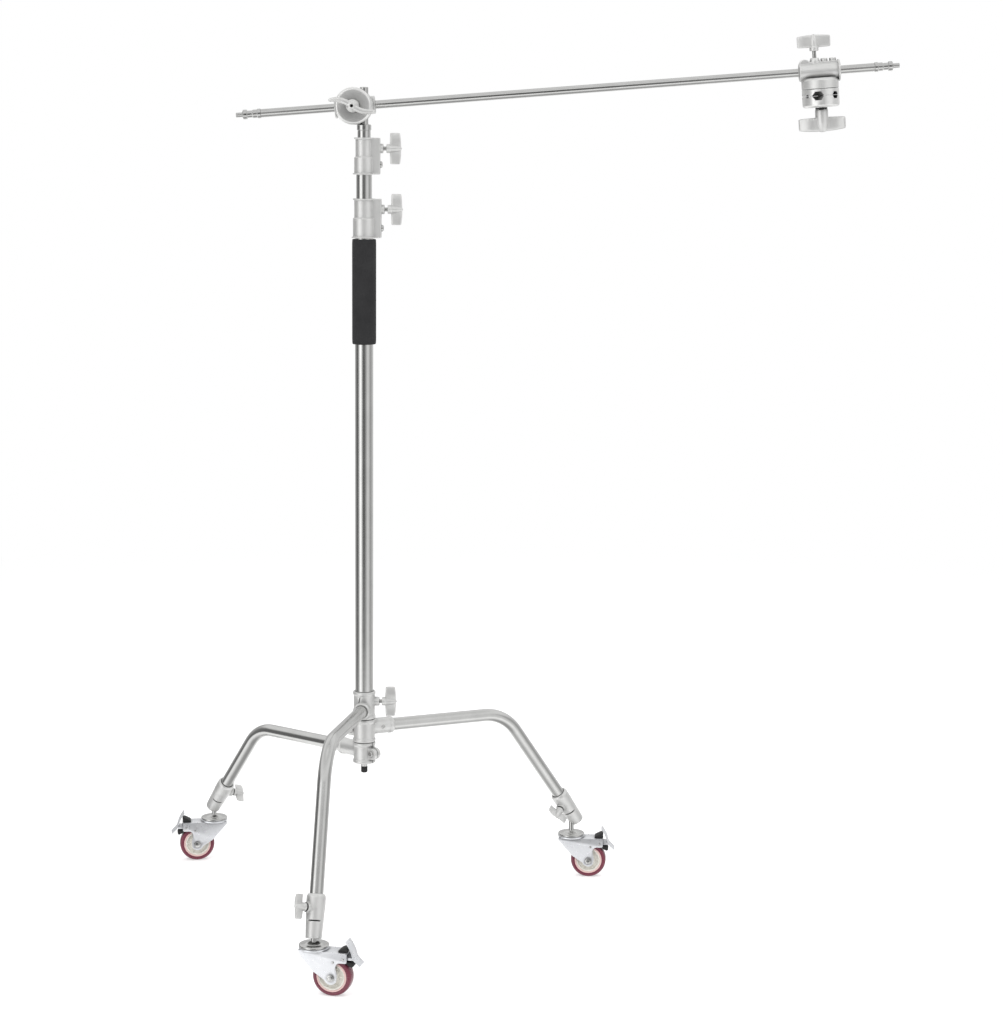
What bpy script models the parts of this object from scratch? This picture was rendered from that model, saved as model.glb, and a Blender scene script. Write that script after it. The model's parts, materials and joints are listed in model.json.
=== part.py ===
"""A century stand on casters: sliding-leg base, three-section column, boom arm and two grip heads.

Units are metres and +Z is up. Everything is first placed from the column's axis, with z = 0 on the
floor and +X along the boom. At the end the whole stand is shifted so that the origin is under the
middle of its box.
"""

import math

import bmesh
import bpy
from mathutils import Matrix, Vector

# Tubes
COLUMN_R = 0.0175
MID_R = 0.0150
TOP_R = 0.0125
TOP_RING_R = 0.0137
LEG_R = 0.0125
PIN_R = 0.0080
WALL = 0.0016
GAP = 0.0003

COLLAR_WALL = 0.0040
SHOULDER = 0.0040

# Heights above the floor
TIP_Z = 0.2844
STUD_Z = 0.2966
LOW_Z = 0.3048
MID_Z = 0.3475
SLIDE_Z = 0.3943
SLIDE_TOP_Z = 0.4499
SLIDE_KNOB_Z = 0.4287
RISER_MID_Z = 0.3720
RISER_TOP_LOW_Z = 0.4200
GRIP_Z = 1.1356
GRIP_TOP_Z = 1.3377
LOWER_COLLAR_Z = 1.3396
LOWER_STEP_Z = 1.3779
LOWER_COLLAR_TOP_Z = 1.4150
UPPER_COLLAR_Z = 1.4606
UPPER_STEP_Z = 1.4938
UPPER_COLLAR_TOP_Z = 1.5307
RISER_TOP_Z = 1.5447
PIN_TOP_Z = 1.6260
HEAD_Z = 1.5900
GRIP_R = 0.0232
CASTING_R = 0.0215
LUG_DEG = {"left": -175.0, "right": 135.0}

# Legs: name, direction in degrees, height at the column, bend (reach, height), foot (reach, height)
# and the length of the casting's socket
LEGS = (
    ("front", -97.5, 0.4128, (0.373, 0.431), (0.494, 0.1030), 0.036),
    ("left", 134.0, 0.3300, (0.3345, 0.314), (0.494, 0.1130), 0.068),
    ("right", 31.0, 0.3765, (0.323, 0.367), (0.503, 0.1170), 0.062),
)
LEG_START = 0.0225
BEND_R = 0.095
SOCKET_LENGTH = 0.080
SOCKET_TOP_R = 0.0176
SOCKET_END_R = 0.0148
SOCKET_BORE = 0.044
SOCKET_KNOB_AT = 0.055

# Casters: distance of the swivel from the column, and the way each one trails
PIVOT_REACH = 0.490
TRAIL_DEG = {"front": -14.0, "left": 189.0, "right": -4.0}
KNOB_SIDE_DEG = {"front": -40.0, "left": -115.0, "right": -150.0}
KNOB_TURN_DEG = {"front": 0.0, "left": 90.0, "right": 20.0}
TRAIL = 0.0366
WHEEL_R = 0.0365
TYRE_WIDTH = 0.0240
HUB_R = 0.0277
AXLE_R = 0.0040
STEM_R = 0.0050
STEM_TOP = 0.128
RACE_R = 0.0275
FORK_TOP = 0.0840
RACE_TOP = FORK_TOP + 0.0045
FORK_PLATE = 0.0024
FORK_WIDTH = 0.0360
PEDAL_S = 0.0600
PEDAL_Z = 0.0730

# Knobs: half span of the wing, its depth along the axis, hub radius, hub length, and how far the wing
# bows to each side
SMALL_KNOB = (0.0297, 0.0215, 0.0086, 0.0290, 0.0018)
SOCKET_KNOB = (0.0225, 0.0170, 0.0078, 0.0240, 0.0014)
ARM_SCREW_KNOB = (0.0320, 0.0245, 0.0086, 0.0320, 0.0019)
LARGE_KNOB = (0.0450, 0.0275, 0.0125, 0.0430, -0.0050)

# Grip heads, along the head's own axis from the middle of the arm. Each groove between the plates
# has half its width, its distance from the bolt and its direction in degrees.
PLATE_R = 0.0355
BODY_FACE = 0.0330
SPLIT = 0.0464
OUTER_FACE = 0.0685
WASHER = 0.0040
PIN_OFFSET = 0.0200
BARREL_R = 0.0172
BARREL_HALF = 0.0390
BOLT_R = 0.0050
GROOVES = (
    (0.0083, PIN_OFFSET, 0.0),
    (0.0066, 0.0147, 180.0),
    (0.0034, 0.0100, -90.0),
    (0.0050, 0.0145, 90.0),
)
SCREW_X = -0.0080
SCREW_BOSS = 0.0260
SCREW_R = 0.0040

# Boom
ARM_R = 0.0080
ARM_TILT = 4.70
ARM_LEFT = -0.182
ARM_RIGHT = 1.001
HEAD_2_AT = 0.895
BODY_TURN_DEG = {"head_1": 180.0, "head_2": 0.0}
HEAD_2_PLATES_DEG = 159.0
HANDLE_DEG = {"head_1": -18.0, "head_2": 5.0}

STEEL = (0.62, 0.62, 0.61, 1.0)
CAST = (0.66, 0.66, 0.65, 1.0)
ZINC = (0.80, 0.81, 0.84, 1.0)
MAROON = (0.24, 0.03, 0.05, 1.0)
CREAM = (0.70, 0.69, 0.64, 1.0)
BLACK = (0.02, 0.02, 0.02, 1.0)


def clear_scene():
    for obj in list(bpy.data.objects):
        bpy.data.objects.remove(obj, do_unlink=True)


def material(name, colour, metallic, roughness):
    made = bpy.data.materials.new(name)
    made.use_nodes = True
    shader = made.node_tree.nodes["Principled BSDF"]
    shader.inputs["Base Color"].default_value = colour
    shader.inputs["Metallic"].default_value = metallic
    shader.inputs["Roughness"].default_value = roughness
    return made


def mesh_of(shape):
    """A mesh from a bmesh, with its faces pointing out."""
    bmesh.ops.recalc_face_normals(shape, faces=shape.faces)
    mesh = bpy.data.meshes.new("shape")
    shape.to_mesh(mesh)
    shape.free()
    return mesh


def turned(profile, segments=20, hollow=False):
    """A solid of revolution about Z. The profile lists (radius, height); a hollow one is a closed ring."""
    shape = bmesh.new()
    rings = []
    for radius, height in profile:
        if radius == 0:
            rings.append([shape.verts.new((0, 0, height))] * segments)
            continue
        angles = [2 * math.pi * i / segments for i in range(segments)]
        ring = [(radius * math.cos(a), radius * math.sin(a), height) for a in angles]
        rings.append([shape.verts.new(corner) for corner in ring])
    above_rings = rings[1:] + rings[:1] if hollow else rings[1:]
    for below, above in zip(rings, above_rings):
        for i in range(segments):
            j = (i + 1) % segments
            corners = [below[i], below[j], above[j], above[i]]
            face = [v for k, v in enumerate(corners) if v is not corners[k - 1]]
            shape.faces.new(face)
    if not hollow:
        for ring in (rings[0], rings[-1]):
            if ring[0] is not ring[1]:
                shape.faces.new(ring)
    return mesh_of(shape)


def cylinder(radius, low, high, segments=20):
    return turned([(radius, low), (radius, high)], segments)


def pipe(outer, inner, low, high, segments=20):
    return turned([(outer, low), (outer, high), (inner, high), (inner, low)], segments, hollow=True)


def prism(outline, low, high):
    """An outline of (x, y) points, extruded along Z."""
    shape = bmesh.new()
    floor = [shape.verts.new((x, y, low)) for x, y in outline]
    roof = [shape.verts.new((x, y, high)) for x, y in outline]
    shape.faces.new(floor)
    shape.faces.new(roof)
    for i in range(len(outline)):
        j = (i + 1) % len(outline)
        shape.faces.new((floor[i], floor[j], roof[j], roof[i]))
    return mesh_of(shape)


def block(low, high):
    """A box between two corners."""
    outline = [(low[0], low[1]), (high[0], low[1]), (high[0], high[1]), (low[0], high[1])]
    return prism(outline, low[2], high[2])


def swept(points, radii, segments=12):
    """A pipe along points that lie in one upright plane (y = 0), with an outer and an inner wall."""
    shape = bmesh.new()
    walls = []
    for radius in radii:
        rings = []
        for k, point in enumerate(points):
            ahead = points[min(k + 1, len(points) - 1)] - points[max(k - 1, 0)]
            along = ahead.normalized()
            side = Vector((0, 1, 0))
            up = along.cross(side)
            ring = []
            for i in range(segments):
                a = 2 * math.pi * i / segments
                ring.append(shape.verts.new(point + radius * (math.cos(a) * side + math.sin(a) * up)))
            rings.append(ring)
        walls.append(rings)
    outer, inner = walls
    for rings in walls:
        for below, above in zip(rings, rings[1:]):
            for i in range(segments):
                j = (i + 1) % segments
                shape.faces.new((below[i], below[j], above[j], above[i]))
    for end in (0, -1):
        for i in range(segments):
            j = (i + 1) % segments
            shape.faces.new((outer[end][i], outer[end][j], inner[end][j], inner[end][i]))
    return mesh_of(shape)


def moved(mesh, matrix):
    mesh.transform(matrix)
    return mesh


def about(axis, degrees):
    return Matrix.Rotation(math.radians(degrees), 4, axis)


def shift(x=0.0, y=0.0, z=0.0):
    return Matrix.Translation((x, y, z))


def combined(base, others, operation):
    """The base mesh joined with, or cut by, the other meshes, with exact Booleans."""
    helpers = [bpy.data.objects.new("helper", mesh) for mesh in [base, *others]]
    for helper in helpers:
        bpy.context.scene.collection.objects.link(helper)
    for other in helpers[1:]:
        modifier = helpers[0].modifiers.new("combine", "BOOLEAN")
        modifier.operation = operation
        modifier.object = other
    bpy.context.view_layer.update()
    graph = bpy.context.evaluated_depsgraph_get()
    result = bpy.data.meshes.new_from_object(helpers[0].evaluated_get(graph))
    for helper in helpers:
        bpy.data.objects.remove(helper, do_unlink=True)
    return result


def joined(base, *others):
    return combined(base, others, "UNION")


def cut(base, *others):
    return combined(base, others, "DIFFERENCE")


def empty(name, parent, matrix):
    """A named axis that other pieces hang from. The matrix is in the parent's frame."""
    made = bpy.data.objects.new(name, None)
    bpy.context.scene.collection.objects.link(made)
    made.parent = parent
    made.matrix_local = matrix
    return made


def piece(name, mesh, finish, parent, matrix=None):
    """One solid of the stand, shaded smooth, placed in its parent's frame."""
    mesh.name = name
    mesh.materials.clear()
    mesh.materials.append(finish)
    mesh.shade_smooth()
    mesh.set_sharp_from_angle(angle=math.radians(35))
    made = bpy.data.objects.new(name, mesh)
    bpy.context.scene.collection.objects.link(made)
    made.parent = parent
    made.matrix_local = matrix or Matrix()
    return made


def wing_outline(half_span, thickness, curve):
    """A wing seen along its axis: a flat S with blunt ends."""
    steps = 8
    upper, lower = [], []
    for i in range(steps + 1):
        t = 2 * i / steps - 1
        middle = curve * math.sin(math.pi * t)
        width = thickness * (1.0 - 0.35 * t * t)
        upper.append((half_span * t, middle + width / 2))
        lower.append((half_span * t, middle - width / 2))
    return lower + upper[::-1]


def knob(sizes, stem_r, stem_length):
    """A T-knob on its screw. Its axis is Z: the stem points down and the wing is above z = 0."""
    half_span, depth, hub_r, hub_length, bow = sizes
    wing_low = hub_length - depth - 0.001
    outline = wing_outline(half_span, 0.22 * half_span, bow)
    wing = prism(outline, wing_low, wing_low + depth)
    profile = [
        (0, -stem_length),
        (stem_r, -stem_length),
        (stem_r, 0),
        (hub_r, 0),
        (hub_r, hub_length * 0.45),
        (hub_r * 0.6, hub_length - 0.002),
        (0, hub_length + 0.001),
    ]
    return joined(wing, turned(profile, 12))


def collar(low, step, top, lower_r, upper_r):
    """A riser clamp about Z: a stepped and flanged sleeve, and a block on +X for its T-knob and screw."""
    outer_low = lower_r + COLLAR_WALL
    outer_high = upper_r + COLLAR_WALL
    lip = 0.0026
    rim = 0.0024
    profile = [
        (0, low),
        (outer_low + lip, low),
        (outer_low + lip, low + rim),
        (outer_low, low + rim),
        (outer_low, step),
        (outer_high, step),
        (outer_high, top - rim),
        (outer_high + lip, top - rim),
        (outer_high + lip, top),
        (0, top),
    ]
    body = turned(profile, 24)
    face = outer_low + 0.0118
    lug = block((0.006, -0.0105, low + 0.0004), (face, 0.0105, top - 0.0004))
    knob_z = top - 0.0205
    screw_z = low + 0.0190
    boss = moved(cylinder(0.0090, 0.006, face + 0.0060, 14), shift(z=knob_z) @ about("Y", 90))
    bore_low = cylinder(lower_r + GAP, low - 0.01, step - SHOULDER, 24)
    bore_high = cylinder(upper_r + GAP, low - 0.02, top + 0.01, 24)
    knob_hole = moved(cylinder(0.0044, 0.001, face + 0.02, 12), shift(z=knob_z) @ about("Y", 90))
    screw_hole = moved(cylinder(0.0033, face - 0.008, face + 0.02, 10), shift(z=screw_z) @ about("Y", 90))
    mesh = cut(joined(body, lug, boss), bore_low, bore_high, knob_hole, screw_hole)
    return mesh, face, knob_z, screw_z


def collar_screw():
    """A domed screw about Z, with its head's underside at z = 0."""
    profile = [(0, -0.007), (0.003, -0.007), (0.003, GAP), (0.0066, GAP), (0.0056, 0.0032), (0, 0.0046)]
    return turned(profile, 12)


def clamp_lug(middle, turn):
    """The eared lug that closes a casting on the column, on its side at an angle about Z."""
    half = 0.0080
    radius = 0.0115
    reach = 0.0260
    ear = moved(cylinder(radius, -half, half, 16), turn @ shift(x=reach, z=middle) @ about("X", 90))
    neck = moved(block((0.010, -half, middle - radius), (reach, half, middle + radius)), turn)
    return ear, neck


def casting(low, high, socket_z, socket_length, slope, lug_deg=None):
    """A leg casting about Z and the holes to cut in it: a sleeve on the column, a socket on +X for its
    leg and, where an angle is given, a clamp lug."""
    sleeve = cylinder(CASTING_R, low + GAP, high - GAP, 24)
    tilt = shift(z=socket_z) @ about("Y", 90 - slope)
    profile = [
        (0, 0),
        (0.0158, 0),
        (0.0158, socket_length - 0.004),
        (0.0146, socket_length),
        (0, socket_length),
    ]
    body = joined(sleeve, moved(turned(profile), tilt))
    if lug_deg is not None:
        body = joined(body, *clamp_lug((low + high) / 2, about("Z", lug_deg)))
    holes = [cylinder(COLUMN_R + GAP, low - 0.01, high + 0.01, 24)]
    holes.append(moved(cylinder(LEG_R + GAP, LEG_START - 0.001, socket_length + 0.02), tilt))
    return body, holes


def leg_points(hub_z, bend, foot, start, stop):
    """The middle line of a leg in its own upright plane: a straight, a round bend, and a straight."""
    hub = Vector((0, 0, hub_z))
    corner = Vector((bend[0], 0, bend[1]))
    end = Vector((foot[0], 0, foot[1]))
    out = (hub - corner).normalized()
    down = (end - corner).normalized()
    half = out.angle(down) / 2
    reach = BEND_R / math.tan(half)
    middle = corner + (out + down).normalized() * (BEND_R / math.sin(half))
    first = corner + out * reach
    last = corner + down * reach
    steps = 6
    a, b = first - middle, last - middle
    turn = a.angle(b)
    arc = []
    for i in range(steps + 1):
        t = i / steps
        arc.append(middle + (math.sin((1 - t) * turn) * a + math.sin(t * turn) * b) / math.sin(turn))
    return [hub - out * start, *arc, end - down * stop], down


def socket_mesh():
    """A caster socket about Z: its open end at z = 0, its foot below, and a boss on +X for its knob."""
    profile = [
        (0, -SOCKET_LENGTH),
        (SOCKET_END_R, -SOCKET_LENGTH),
        (SOCKET_TOP_R, -0.004),
        (SOCKET_TOP_R - 0.002, 0),
        (0, 0),
    ]
    height = SOCKET_KNOB_AT - SOCKET_LENGTH
    boss = moved(cylinder(0.0095, 0.004, 0.0225, 14), shift(z=height) @ about("Y", 90))
    bore = cylinder(LEG_R + GAP, -SOCKET_BORE, 0.01)
    knob_hole = moved(cylinder(0.0043, 0.002, 0.04, 12), shift(z=height) @ about("Y", 90))
    return cut(joined(turned(profile), boss), bore, knob_hole), height


def fork_mesh():
    """A caster fork: x is the way it trails, z is up, and the axle lies along y."""
    front = -0.0262
    rear = 0.0670
    lug_r = 0.0125
    outline = [(front, FORK_TOP), (front, FORK_TOP - 0.004), (0.0035, 0.0462)]
    for i in range(6):
        a = math.radians(200 + i * 25)
        outline.append((TRAIL + lug_r * math.cos(a), WHEEL_R + lug_r * math.sin(a)))
    outline += [(TRAIL + lug_r, 0.040), (0.0450, 0.058), (0.0500, 0.0655)]
    outline += [(rear - 0.002, 0.0655), (rear, 0.068), (rear, FORK_TOP)]
    turn = about("X", 90)
    solid = moved(prism(outline, -FORK_WIDTH / 2, FORK_WIDTH / 2), turn)
    inner = FORK_WIDTH / 2 - FORK_PLATE
    inside = block((front - 0.01, -inner, -0.01), (rear + 0.01, inner, FORK_TOP - FORK_PLATE))
    race_profile = [
        (0, FORK_TOP - 0.001),
        (RACE_R, FORK_TOP - 0.001),
        (RACE_R, RACE_TOP - 0.0013),
        (RACE_R - 0.002, RACE_TOP),
        (0, RACE_TOP),
    ]
    stem_hole = cylinder(STEM_R + GAP, FORK_TOP - 0.02, FORK_TOP + 0.02, 14)
    axle_hole = moved(cylinder(AXLE_R + GAP, -0.03, 0.03, 14), shift(TRAIL, 0, WHEEL_R) @ turn)
    return cut(joined(cut(solid, inside), turned(race_profile, 24)), stem_hole, axle_hole)


def kingpin_mesh():
    """The swivel's upper half about Z: a domed race cover and the stem that goes up into the socket."""
    low = RACE_TOP + GAP
    profile = [
        (0, FORK_TOP - FORK_PLATE),
        (STEM_R, FORK_TOP - FORK_PLATE),
        (STEM_R, low),
        (RACE_R, low),
        (RACE_R, low + 0.0030),
        (RACE_R - 0.004, low + 0.0050),
        (0.0130, low + 0.0066),
        (0.0092, low + 0.0078),
        (STEM_R, low + 0.0080),
        (STEM_R, STEM_TOP),
        (0, STEM_TOP),
    ]
    return turned(profile, 24)


def tyre_mesh():
    half = TYRE_WIDTH / 2
    inner = HUB_R + 2 * GAP
    profile = [
        (WHEEL_R - 0.002, -half),
        (WHEEL_R, 0.003 - half),
        (WHEEL_R, half - 0.003),
        (WHEEL_R - 0.002, half),
        (inner, half),
        (inner, -half),
    ]
    return turned(profile, 24, hollow=True)


def hub_mesh():
    half = TYRE_WIDTH / 2 + 0.0005
    one_side = [
        (HUB_R, half),
        (HUB_R - 0.003, half),
        (HUB_R - 0.005, half - 0.004),
        (0.0125, half - 0.004),
        (0.0115, half + 0.0012),
        (AXLE_R + GAP, half + 0.0012),
    ]
    other_side = [(radius, -height) for radius, height in one_side[::-1]]
    return turned(one_side + other_side, 16, hollow=True)


def axle_mesh():
    """The wheel's bolt with a head and a nut outside the fork."""
    face = FORK_WIDTH / 2 + GAP
    head_r = 0.0070
    profile = [
        (0, -face - 0.004),
        (head_r, -face - 0.004),
        (head_r, -face),
        (AXLE_R, -face),
        (AXLE_R, face),
        (head_r, face),
        (head_r, face + 0.005),
        (0, face + 0.006),
    ]
    return turned(profile, 12)


def pedal_mesh():
    """The brake pedal in the wheel's plane: a folded plate outside the fork and a web to its pin."""
    plate = [(0.0640, 0.1052), (0.0705, 0.0960), (0.0752, 0.0862), (0.0788, 0.0738), (0.0908, 0.0612)]
    lip = [(0.0897, 0.0601), (0.0782, 0.0716)]
    web = [(0.0560, 0.0705), (0.0560, 0.0755), (0.0768, 0.0755)]
    tip = [(0.0737, 0.0856), (0.0692, 0.0951), (0.0628, 0.1042)]
    half = FORK_WIDTH / 2 - FORK_PLATE - 0.0016
    return moved(prism(plate + lip + web + tip, -half, half), about("X", 90))


def head_body_mesh():
    """A grip head's receiver: the arm runs along X, and the plates sit on +Z."""
    barrel = moved(cylinder(BARREL_R, -BARREL_HALF, BARREL_HALF, 20), about("Y", 90))
    rim = moved(cylinder(BARREL_R + 0.0035, BARREL_HALF - 0.004, BARREL_HALF, 20), about("Y", 90))
    flange_profile = [
        (0, 0.006),
        (0.020, 0.006),
        (0.033, 0.0205),
        (PLATE_R, 0.0235),
        (PLATE_R, BODY_FACE),
        (0, BODY_FACE),
    ]
    flange = turned(flange_profile, 28)
    web = block((-0.0375, -0.0085, -0.0215), (0.0375, 0.0085, 0.0))
    boss = moved(cylinder(0.0085, 0.002, SCREW_BOSS, 14), shift(x=SCREW_X) @ about("X", 180))
    bore = moved(cylinder(ARM_R + GAP, -0.06, 0.06, 20), about("Y", 90))
    screw_hole = moved(cylinder(SCREW_R + GAP, 0.001, 0.05, 12), shift(x=SCREW_X) @ about("X", 180))
    bolt_hole = cylinder(BOLT_R + GAP, 0.0135, 0.05, 14)
    return cut(joined(barrel, rim, flange, web, boss), bore, screw_hole, bolt_hole)


def groove_cutters():
    """Six-sided bars along the four chords where the two plates grip a pin or a flag frame."""
    cutters = []
    for apothem, offset, turn in GROOVES:
        radius = apothem / math.cos(math.radians(30))
        bar = cylinder(radius, -0.06, 0.06, 6)
        upright = about("Z", turn) @ shift(x=offset, z=SPLIT) @ about("X", 90)
        cutters.append(moved(bar, upright))
    return cutters


def plate_mesh(low, high, chamfer_low, chamfer_high):
    """A grooved disc between two heights, with a chamfer on each edge."""
    profile = [
        (0, low),
        (PLATE_R - chamfer_low, low),
        (PLATE_R, low + chamfer_low),
        (PLATE_R, high - chamfer_high),
        (PLATE_R - chamfer_high, high),
        (0, high),
    ]
    bolt_hole = cylinder(BOLT_R + GAP, low - 0.01, high + 0.01, 14)
    return cut(turned(profile, 28), bolt_hole, *groove_cutters())


def build_base(root, looks):
    """The column tube, the three castings, the legs and everything under them."""
    steel, cast, black = looks["steel"], looks["cast"], looks["black"]
    column_top = LOWER_STEP_Z - SHOULDER - GAP
    piece("column_tube", pipe(COLUMN_R, COLUMN_R - WALL, LOW_Z + 0.004, column_top, 24), steel, root)
    piece("grip_sleeve", pipe(GRIP_R, COLUMN_R + GAP, GRIP_Z, GRIP_TOP_Z, 24), looks["foam"], root)
    inside = COLUMN_R - WALL - GAP
    stud_profile = [
        (0, STUD_Z - 0.006),
        (0.0035, STUD_Z - 0.006),
        (0.0035, STUD_Z + GAP),
        (0.0062, STUD_Z + GAP),
        (0.0062, LOW_Z + 0.001),
        (inside, LOW_Z + 0.003),
        (inside, LOW_Z + 0.020),
        (0, LOW_Z + 0.020),
    ]
    piece("base_stud", turned(stud_profile, 16), steel, root)
    tip_profile = [
        (0, TIP_Z),
        (0.0050, TIP_Z),
        (0.0064, TIP_Z + 0.0015),
        (0.0064, STUD_Z),
        (0.0038, STUD_Z),
        (0.0038, TIP_Z + 0.005),
        (0, TIP_Z + 0.005),
    ]
    piece("base_tip", turned(tip_profile, 14), black, root)
    casting_names = {"front": "sliding_collar", "left": "low_casting", "right": "mid_casting"}
    heights = {"front": (SLIDE_Z, SLIDE_TOP_Z), "left": (LOW_Z, MID_Z), "right": (MID_Z, SLIDE_Z)}
    for name, degrees, hub_z, bend, foot, socket_length in LEGS:
        turn = about("Z", degrees)
        axis = empty(name + "_leg_axis", root, turn)
        low, high = heights[name]
        slope = math.degrees(math.atan2(bend[1] - hub_z, bend[0]))
        body, holes = casting(low, high, hub_z, socket_length, slope, LUG_DEG.get(name))
        if name == "front":
            boss_turn = about("Z", -degrees) @ shift(z=SLIDE_KNOB_Z) @ about("Y", 90)
            body = joined(body, moved(cylinder(0.0090, 0.010, 0.0300, 14), boss_turn))
            holes.append(moved(cylinder(0.0043, 0.005, 0.05, 12), boss_turn))
        piece(casting_names[name], cut(body, *holes), cast, axis)
        into_socket = SOCKET_LENGTH - SOCKET_BORE + 0.002
        points, down = leg_points(hub_z, bend, foot, LEG_START, into_socket)
        piece("leg_" + name, swept(points, (LEG_R, LEG_R - WALL)), steel, axis)
        build_caster(name, degrees, axis, foot, down, looks)
    knob_mesh = knob(SMALL_KNOB, 0.0040, 0.0150)
    piece("sliding_knob", knob_mesh, cast, root, shift(x=0.0350, z=SLIDE_KNOB_Z) @ about("Y", 90))


def build_caster(name, degrees, axis, foot, down, looks):
    """One leg's socket with its knob, and the braked swivel caster under it."""
    steel, cast, zinc = looks["steel"], looks["cast"], looks["zinc"]
    lean = math.degrees(math.atan2(down.x, -down.z))
    top = Vector((foot[0], 0, foot[1])) - down * SOCKET_LENGTH
    socket_frame = shift(*top) @ about("Y", -lean)
    knob_side = KNOB_SIDE_DEG[name]
    mesh, height = socket_mesh()
    mesh.transform(about("Z", knob_side))
    stem_hole = cylinder(STEM_R + GAP, 0.0, STEM_TOP + 0.001, 14)
    stem_hole.transform(socket_frame.inverted() @ shift(PIVOT_REACH))
    piece("socket_" + name, cut(mesh, stem_hole), cast, axis, socket_frame)
    knob_frame = socket_frame @ about("Z", knob_side) @ shift(x=0.0245, z=height) @ about("Y", 90)
    knob_frame = knob_frame @ about("Z", KNOB_TURN_DEG[name])
    piece("socket_knob_" + name, knob(SOCKET_KNOB, 0.0040, 0.0090), cast, axis, knob_frame)
    pivot = empty(name + "_swivel_axis", axis, shift(PIVOT_REACH) @ about("Z", TRAIL_DEG[name] - degrees))
    piece("kingpin_" + name, kingpin_mesh(), steel, pivot)
    piece("fork_" + name, fork_mesh(), zinc, pivot)
    axle = empty(name + "_wheel_axis", pivot, shift(TRAIL, 0, WHEEL_R) @ about("X", 90))
    piece("tyre_" + name, tyre_mesh(), looks["tyre"], axle)
    piece("wheel_hub_" + name, hub_mesh(), looks["hub"], axle)
    piece("axle_" + name, axle_mesh(), steel, axle)
    pin = empty(name + "_pedal_axis", pivot, shift(PEDAL_S, 0, PEDAL_Z))
    piece("brake_pedal_" + name, moved(pedal_mesh(), shift(-PEDAL_S, 0, -PEDAL_Z)), zinc, pin)


def build_column(root, looks):
    """The two riser clamps, the two risers and the pin on top."""
    steel, cast = looks["steel"], looks["cast"]
    lower = (LOWER_COLLAR_Z, LOWER_STEP_Z, LOWER_COLLAR_TOP_Z)
    upper = (UPPER_COLLAR_Z, UPPER_STEP_Z, UPPER_COLLAR_TOP_Z)
    clamps = (("lower", lower, COLUMN_R, MID_R), ("upper", upper, MID_R, TOP_R))
    for name, heights, tube_r, riser_r in clamps:
        mesh, face, knob_z, screw_z = collar(*heights, tube_r, riser_r)
        piece(name + "_collar", mesh, cast, root)
        build_collar_fittings(name, face, knob_z, screw_z, riser_r, root, looks)
    mid_top = UPPER_STEP_Z - SHOULDER - GAP
    piece("riser_mid", pipe(MID_R, MID_R - WALL, RISER_MID_Z, mid_top, 24), steel, root)
    top_tube = pipe(TOP_R, TOP_R - WALL, RISER_TOP_LOW_Z, RISER_TOP_Z - GAP)
    piece("riser_top", top_tube, steel, root)
    plug_r = TOP_R - WALL - GAP
    pin_profile = [
        (0, RISER_TOP_Z - 0.030),
        (plug_r, RISER_TOP_Z - 0.030),
        (plug_r, RISER_TOP_Z),
        (TOP_RING_R, RISER_TOP_Z),
        (TOP_RING_R, RISER_TOP_Z + 0.0100),
        (PIN_R, RISER_TOP_Z + 0.0115),
        (PIN_R, PIN_TOP_Z - 0.0010),
        (PIN_R - 0.001, PIN_TOP_Z),
        (0, PIN_TOP_Z),
    ]
    piece("top_pin", turned(pin_profile), steel, root)


def build_collar_fittings(name, face, knob_z, screw_z, riser_r, root, looks):
    knob_x = face + 0.0120
    stem = knob_x - riser_r - 0.0010
    mesh = knob(SMALL_KNOB, 0.0040, stem)
    screw_frame = shift(x=face, z=screw_z) @ about("Y", 90)
    piece(name + "_knob", mesh, looks["cast"], root, shift(x=knob_x, z=knob_z) @ about("Y", 90))
    piece(name + "_collar_screw", collar_screw(), looks["steel"], root, screw_frame)


def build_head(name, parent, plates_turn, looks):
    """One grip head. Its arm runs along the parent's X, and its plates sit on the parent's +Z."""
    cast = looks["cast"]
    body_turn = about("Z", BODY_TURN_DEG[name])
    piece(name + "_body", head_body_mesh(), cast, parent, body_turn)
    turn = about("Z", plates_turn)
    inner = plate_mesh(BODY_FACE + GAP, SPLIT - GAP, 0.0008, 0.0004)
    outer = plate_mesh(SPLIT + GAP, OUTER_FACE, 0.0004, 0.0035)
    piece(name + "_inner_plate", inner, cast, parent, turn)
    piece(name + "_outer_plate", outer, cast, parent, turn)
    washer = pipe(0.0115, BOLT_R + GAP, OUTER_FACE + GAP, OUTER_FACE + WASHER, 16)
    piece(name + "_washer", washer, looks["black"], parent)
    hub_low = OUTER_FACE + WASHER + GAP
    handle = knob(LARGE_KNOB, BOLT_R, hub_low - 0.0150)
    piece(name + "_handle", handle, cast, parent, shift(z=hub_low) @ about("Z", HANDLE_DEG[name]))
    screw_low = SCREW_BOSS + 0.0130
    screw = knob(ARM_SCREW_KNOB, SCREW_R, screw_low - ARM_R - 0.0006)
    screw_frame = body_turn @ shift(x=SCREW_X) @ about("X", 180) @ shift(z=screw_low)
    piece(name + "_screw", screw, cast, parent, screw_frame)


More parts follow.
